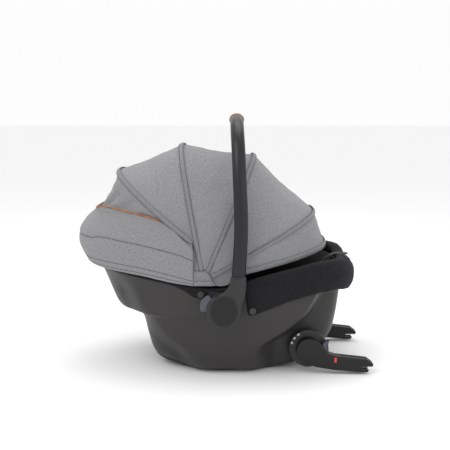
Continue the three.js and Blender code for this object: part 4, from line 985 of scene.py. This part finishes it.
boot_plastic = plastic("boot_plastic", (0.026, 0.025, 0.025), 0.42, pits=1400.0, Specular_IOR_Level=0.3)
cap_plastic = plastic("cap_plastic", (0.008, 0.008, 0.009), 0.4, Specular_IOR_Level=0.3)
button_plastic = plastic("button_plastic", (0.050, 0.060, 0.075), 0.4)
steel = shader("zinc_steel", (0.55, 0.56, 0.58), 0.3, Metallic=1.0)
boot_outline = np.vstack([
    [[19, BOOT_TOP], [17.5, 212], [8, 198], [-11, 187]], arc(HUB, HUB_RADIUS, 124, 372, 60),
    [[49, 185], [52, 205], [52, BOOT_TOP]]])
boot_outline = rounded(even_outline(boot_outline, 1.6), 10)
for side, sign in (("left", -1), ("right", 1)):
    near, far = sorted(sign * abs(y) for y in (boot_low[1], boot_high[1]))
    outer = sign * max(abs(near), abs(far))
    place(moulded_plate(f"boot_{side}", boot_outline, near, far, 4.5, boot_plastic), "handle", "shell",
          f"handle_boot_{side}")
    cap_turn = np.linspace(0, 2 * pi, 97)[:-1]
    corner = 1 + 0.07 * np.exp(-(((cap_turn - 0.95) / 0.35) ** 2))
    cap = HUB + [0.6, 1.6] + np.stack([28 * np.cos(cap_turn), 31.5 * np.sin(cap_turn)], 1) * corner[:, None]
    face = sorted((outer - sign * 1.5, outer + sign * 0.2))
    place(moulded_plate(f"hub_cap_{side}", cap, *face, 0.9, cap_plastic, dome=1.2), "handle", "black_plastic",
          f"boot_cap_{side}")
    ring = HUB + [0.6, 1.6] + (cap - HUB - [0.6, 1.6]) * 1.06
    groove = tube(f"hub_ring_{side}", np.insert(ring, 1, outer - sign * 0.3, axis=1), (0.8, 0.8),
                  cap_plastic, sides=10,
                  across=(0, 1, 0), closed=True)
    place(groove, "handle", "black_plastic")
    low, high = corners(f"handle_button_{side}")
    fin = arc(HUB, HUB_RADIUS + 10, 132, 180, 16)
    fin = HUB + (fin - HUB) * (1 + 0.1 * np.sin(np.linspace(0, pi, 16)))[:, None]
    button = rounded(even_outline(np.vstack([fin, arc(HUB, HUB_RADIUS - 6, 180, 132, 12)]), 1.2), 4)
    place(moulded_plate(f"release_button_{side}", button, low[1], high[1], 1.8, button_plastic),
          f"handle_button_{side}", "button_plastic", f"handle_button_{side}")
    low, high = corners(f"handle_socket_{side}")
    place(moulded_plate(f"hub_socket_{side}", arc(HUB, HUB_RADIUS, 0, 360, 73)[:-1], low[1], high[1], 1.5,
                        boot_plastic),
          "carrier", "shell", f"handle_socket_{side}")

# ============================================================ anchor connectors
# Two glass-filled nylon arms on a steel cross tube, each with a steel hook that closes over the car's
# anchor bar, a release lever, and a red window that shows when the hook is open.
CONNECTOR = np.array([190.2, 51.5])
arm_high = corners("connector_arm_left")[1]
REACH = arm_high[0] - CONNECTOR[0]
SLOT_LOW, SLOT_HIGH, SLOT_INNER = -41, -34, REACH - 26


def on_connector(*points):
    """Points given from the connector's pivot."""
    return np.array(points, float) + CONNECTOR


arm_outline = np.vstack([
    on_connector((REACH, -28), (REACH - 14, -17.5), (57, -10), (40, -4), (29, 12)),
    arc(CONNECTOR, 27.5, 50, 215, 40),
    on_connector((-6, -27), (15, -35), (50, -41), (110, -46.5), (REACH - 13, -46.5), (REACH - 9, SLOT_LOW),
                 (SLOT_INNER, SLOT_LOW), (SLOT_INNER, SLOT_HIGH), (REACH - 1, SLOT_HIGH))])
core_outline = np.vstack([
    on_connector((74, -13), (57, -10.5), (40, -4.5), (29, 11)), arc(CONNECTOR, 27, 50, 215, 40),
    on_connector((-6, -26.5), (15, -34.5), (50, -40.5), (74, -42.5))])
nylon = plastic("connector_nylon", (0.010, 0.010, 0.011), 0.45, Specular_IOR_Level=0.3)
dot_white = shader("dot_white", (0.6, 0.6, 0.6), 0.5)
indicator_red = shader("indicator_red", (0.62, 0.02, 0.03), 0.3, Coat_Weight=0.3)
for side, sign in (("left", -1), ("right", 1)):
    low, high = corners(f"connector_arm_{side}")
    middle = (low[1] + high[1]) / 2
    outline = rounded(even_outline(arm_outline, 1.1), 3)
    cheeks = [(low[1], middle - 3), (middle + 3, high[1])]
    for word, (y0, y1) in zip(("inner", "outer") if sign > 0 else ("outer", "inner"), cheeks):
        cheek = moulded_plate(f"arm_cheek_{word}_{side}", outline, y0, y1, 1.6, nylon)
        place(cheek, "connectors", "black_plastic", *([f"connector_arm_{side}"] if word == "outer" else []))
    core = moulded_plate(f"arm_core_{side}", rounded(even_outline(core_outline, 1.2), 3), middle - 3.6,
                         middle + 3.6, 0.4, nylon)
    place(core, "connectors", "black_plastic")
    low, high = corners(f"release_lever_{side}")
    pin = on_connector((34, -2))[0]
    lever = pin + np.array([[-5, -6], [6, -10], [9, -2], [9.5, 6], [8, 14], [10, 26], [2, 22], [-4, 17],
                            [-6.5, 6]])
    place(moulded_plate(f"lever_{side}", rounded(even_outline(lever, 1.0), 3), low[1], high[1], 1.6,
                        button_plastic),
          f"lever_{side}", "button_plastic", f"release_lever_{side}")
    low, high = corners(f"lock_indicator_{side}")
    window = rounded(even_outline(np.array([[low[0], low[2]], [high[0], low[2]], [high[0], high[2]],
                                            [low[0], high[2]]]), 0.5), 3)
    place(moulded_plate(f"indicator_{side}", window, low[1], high[1], 0.3, indicator_red), "connectors",
          "red_plastic",
          f"lock_indicator_{side}")
    low, high = corners(f"pivot_plate_{side}")
    back = high[1] if sign < 0 else low[1]
    shoulder = back + sign * 13
    disc = arc(CONNECTOR, 42, 0, 360, 97)[:-1]
    place(moulded_plate(f"pivot_disc_{side}", disc, *sorted((back, shoulder)), 2.0, shell_finish), "carrier",
          "black_plastic", f"pivot_plate_{side}")
    for count, angle in enumerate((161, 143, 125), 1):
        dot = arc(CONNECTOR + 38 * np.array([np.cos(np.radians(angle)), np.sin(np.radians(angle))]), 2.6, 0,
                  360, 25)[:-1]
        place(moulded_plate(f"pivot_dot_{count}_{side}", dot,
                            *sorted((shoulder - sign, shoulder + sign * 0.3)), 0.2,
                            dot_white), "carrier", "black_plastic")

# ============================================================ pads and webbing inside the seat
# The loose padding is sewn bags of wadding: a body insert with quilted channels, a winged head support, and
# sleeves on the harness. Each is blown up as cloth from a drawn-in copy of its space. The webbing is woven
# flat strap.
def from_node(name, node, voxel, draw_in):
    """An even skin over a CAD solid, moved in along its normals so that it has room to swell."""
    source = frame["nodes"][node]
    mesh = source.data.copy()
    mesh.transform(source.matrix_world)
    piece = bpy.data.objects.new(name, mesh)
    bpy.context.collection.objects.link(piece)
    even = piece.modifiers.new("even", "REMESH")
    even.mode, even.voxel_size, even.use_smooth_shade = "VOXEL", voxel * MM, True
    settle(piece)
    normals = np.zeros(len(piece.data.vertices) * 3)
    piece.data.vertices.foreach_get("normal", normals)
    set_points(piece, points_of(piece) - draw_in * normals.reshape(-1, 3))
    return piece


def settle(piece):
    """Applies a piece's modifiers as they stand on this frame."""
    shown = piece.evaluated_get(bpy.context.evaluated_depsgraph_get())
    mesh = bpy.data.meshes.new_from_object(shown)
    piece.modifiers.clear()
    piece.data = mesh


def points_of(piece):
    """A piece's points in millimetres."""
    flat = np.zeros(len(piece.data.vertices) * 3)
    piece.data.vertices.foreach_get("co", flat)
    return flat.reshape(-1, 3) / MM


def set_points(piece, points):
    """Moves a piece's points, given in millimetres."""
    piece.data.vertices.foreach_set("co", (points * MM).ravel())
    piece.data.update()


def inflate(pieces, caps):
    """Blows the pieces up as cloth bags for twenty frames without gravity, and lets no point move beyond
    its cap."""
    starts = [points_of(piece) for piece in pieces]
    for piece in pieces:
        bag = piece.modifiers.new("bag", "CLOTH")
        bag.settings.use_pressure, bag.settings.uniform_pressure_force = True, 4
        bag.settings.quality, bag.settings.effector_weights.gravity = 5, 0
        bag.point_cache.frame_start, bag.point_cache.frame_end = 1, 20
    for count in range(1, 21):
        bpy.context.scene.frame_set(count)
    for piece, start, cap in zip(pieces, starts, caps):
        settle(piece)
        moved = points_of(piece) - start
        far = np.linalg.norm(moved, axis=1, keepdims=True)
        set_points(piece, start + moved * np.minimum(1, cap / np.maximum(far, 1e-6)))
    bpy.context.scene.frame_set(1)


def finish_pad(piece, node, body, channels):
    """Presses the sewn channels into a pad's upper side, smooths it and puts it in its CAD solid's
    place."""
    normals = np.zeros(len(piece.data.vertices) * 3)
    piece.data.vertices.foreach_get("normal", normals)
    normals = normals.reshape(-1, 3)
    points = points_of(piece)
    set_points(piece, points - normals * (channels(points) * smooth(normals[:, 2] * 2))[:, None])
    extra = piece.modifiers.new("smoother", "SUBSURF")
    extra.levels = extra.render_levels = 1
    settle(piece)
    piece.data.polygons.foreach_set("use_smooth", np.ones(len(piece.data.polygons), bool))
    piece.data.materials.clear()
    piece.data.materials.append(black_knit_soft)
    place(piece, body, "black_fabric", node)


def line_press(distance, width, depth):
    """A sewn channel: a normal curve of the distance from its line."""
    return depth * np.exp(-((distance / width) ** 2))


def insert_channels(at):
    """Quilting every 46 mm along the insert, and one line each side of the back."""
    rows = np.abs((at[:, 0] + 20 + 23) % 46 - 23)
    sides = np.abs(np.abs(at[:, 1]) - 58)
    return np.maximum(line_press(rows, 3.5, 2.2) * (np.abs(at[:, 1]) < 58), line_press(sides, 3.5, 2.2))


def rest_channels(at):
    """A line each side of the head's hollow, where the wings are sewn on."""
    return line_press(np.abs(np.abs(at[:, 1]) - 34), 3.0, 2.0)


def no_channels(at):
    """Nothing pressed in."""
    return np.zeros(len(at))


pads = [("body_insert_pad", "body_insert", "carrier", 4.0, 2.0, 2.4, insert_channels, 0.5),
        ("headrest_pad_sewn", "headrest_pad", "headrest", 3.5, 2.0, 2.4, rest_channels, 0.6),
        ("crotch_sleeve", "crotch_pad", "carrier", 2.2, 1.0, 1.2, no_channels, 0.5),
        ("shoulder_sleeve_left", "shoulder_pad_left", "carrier", 2.2, 1.0, 1.2, no_channels, 0.5),
        ("shoulder_sleeve_right", "shoulder_pad_right", "carrier", 2.2, 1.0, 1.2, no_channels, 0.5)]
bags = [from_node(name, node, voxel, draw_in) for name, node, _, voxel, draw_in, *_ in pads]
inflate(bags, [pad[5] for pad in pads])
for bag, (_, node, body, *_, channels, fill) in zip(bags, pads):
    finish_pad(bag, node, body, channels)

webbing = cloth("webbing", (0.007, 0.007, 0.008), (0.019, 0.019, 0.021), 620.0, 520.0, 0.0003, 0.7,
                Sheen_Weight=0.05)


def top_of(node):
    """A function for the height of a CAD node's upper face under plan points, in millimetres."""
    source = frame["nodes"][node]
    tree = BVHTree.FromPolygons([source.matrix_world @ v.co for v in source.data.vertices],
                                [list(face.vertices) for face in source.data.polygons])

    def height(x, y):
        hit = tree.ray_cast(Vector((x * MM, y * MM, 1)), Vector((0, 0, -1)))[0]
        return np.nan if hit is None else hit.z / MM

    return np.vectorize(height)


def strap(name, middle, sideways, width, thickness, body, node):
    """Flat webbing along a middle line: its section is a superellipse, nearly square at its corners, with a
    shallow groove woven inside each edge."""
    ahead = np.gradient(middle, axis=0)
    up = np.cross(ahead, sideways)
    up /= np.linalg.norm(up, axis=1, keepdims=True)
    angle = np.linspace(0, 2 * pi, 32, endpoint=False)
    across, rise = power(np.cos(angle), 0.3), power(np.sin(angle), 0.4)
    selvedge = 1 - 0.25 * np.exp(-(((np.abs(across) - 0.72) / 0.08) ** 2))
    rows = (middle[:, None] + sideways[:, None] * (across * width / 2)[:, None]
            + up[:, None] * (rise * selvedge * thickness / 2)[:, None])
    place(skin(name, rows, webbing, columns_close=True, caps=True), body, "webbing", node)


def ribbon_line(node, count):
    """The middle line of a strap that lies across Y: the pairs of points on one edge of its CAD solid,
    averaged and followed from the end nearest the head, then spaced evenly."""
    source = frame["nodes"][node]
    points = np.array([source.matrix_world @ v.co for v in source.data.vertices]) / MM
    edge = np.unique(np.round(points[points[:, 1] > 0][:, [0, 2]], 3), axis=0)
    near = np.linalg.norm(edge[:, None] - edge[None], axis=2) + np.eye(len(edge)) * 1e6
    pairs = np.unique(np.round((edge + edge[near.argmin(1)]) / 2, 2), axis=0)
    line, left = [pairs[pairs[:, 0].argmin()]], list(range(len(pairs)))
    left.remove(int(pairs[:, 0].argmin()))
    while left:
        step = min(left, key=lambda k: np.linalg.norm(pairs[k] - line[-1]))
        line.append(pairs[step])
        left.remove(step)
    line = np.array(line)
    run = np.r_[0, np.cumsum(np.linalg.norm(np.diff(line, axis=0), axis=1))]
    at = np.linspace(0, run[-1], count)
    even = np.stack([np.interp(at, run, line[:, k]) for k in (0, 1)], 1)
    for _ in range(4):
        even[1:-1] = (even[:-2] + 2 * even[1:-1] + even[2:]) / 4
    return stack(even[:, 0], 0, even[:, 1])


for node in ("crotch_strap", "adjuster_strap"):
    line = ribbon_line(node, 70)
    strap(f"{node}_webbing", line, np.tile([0.0, 1.0, 0.0], (70, 1)), 25, 2, "carrier", node)
strap_plan = curve((-107, 47), (-50, 42), (0, 28), (33, 14))
for side, sign in (("left", -1), ("right", 1)):
    node = f"shoulder_strap_{side}"
    height = top_of(node)
    x = np.linspace(-103, 31, 70)
    y = sign * strap_plan(x)
    z = height(x, y)
    z = np.interp(x, x[~np.isnan(z)], z[~np.isnan(z)]) - 1
    for _ in range(6):
        z[1:-1] = (z[:-2] + 2 * z[1:-1] + z[2:]) / 4
    ahead = np.gradient(stack(x, y, 0), axis=0)
    sideways = stack(-ahead[:, 1], ahead[:, 0], 0)
    sideways /= np.linalg.norm(sideways, axis=1, keepdims=True)
    strap(f"shoulder_webbing_{side}", stack(x, y, z), sideways, 23, 2, "carrier", node)

# ============================================================ finishes of the CAD pieces that stay
# Pins, tongues, hooks and other small hard pieces are right as they are and only take their real finish.
red_button = plastic("red_button", (0.55, 0.018, 0.025), 0.35)
stud_plastic = plastic("stud_plastic", (0.018, 0.018, 0.019), 0.35, worn=0.0)
kept = {"steel": steel, "black_plastic": cap_plastic, "button_plastic": button_plastic, "shell": boot_plastic,
        "red_plastic": red_button, "tube_paint": tube_paint, "foam": foam_finish, "webbing": black_knit_soft,
        "black_fabric": black_knit_soft, "grey_fabric": melange, "tan_leather": tan_leather}
slot_of = {part["node"]: part["material_slot"] for part in frame["record"]["subparts"]}
for name, node in frame["nodes"].items():
    node.data.materials.clear()
    node.data.materials.append(stud_plastic if name.startswith("cover_stud") else kept[slot_of[name]])
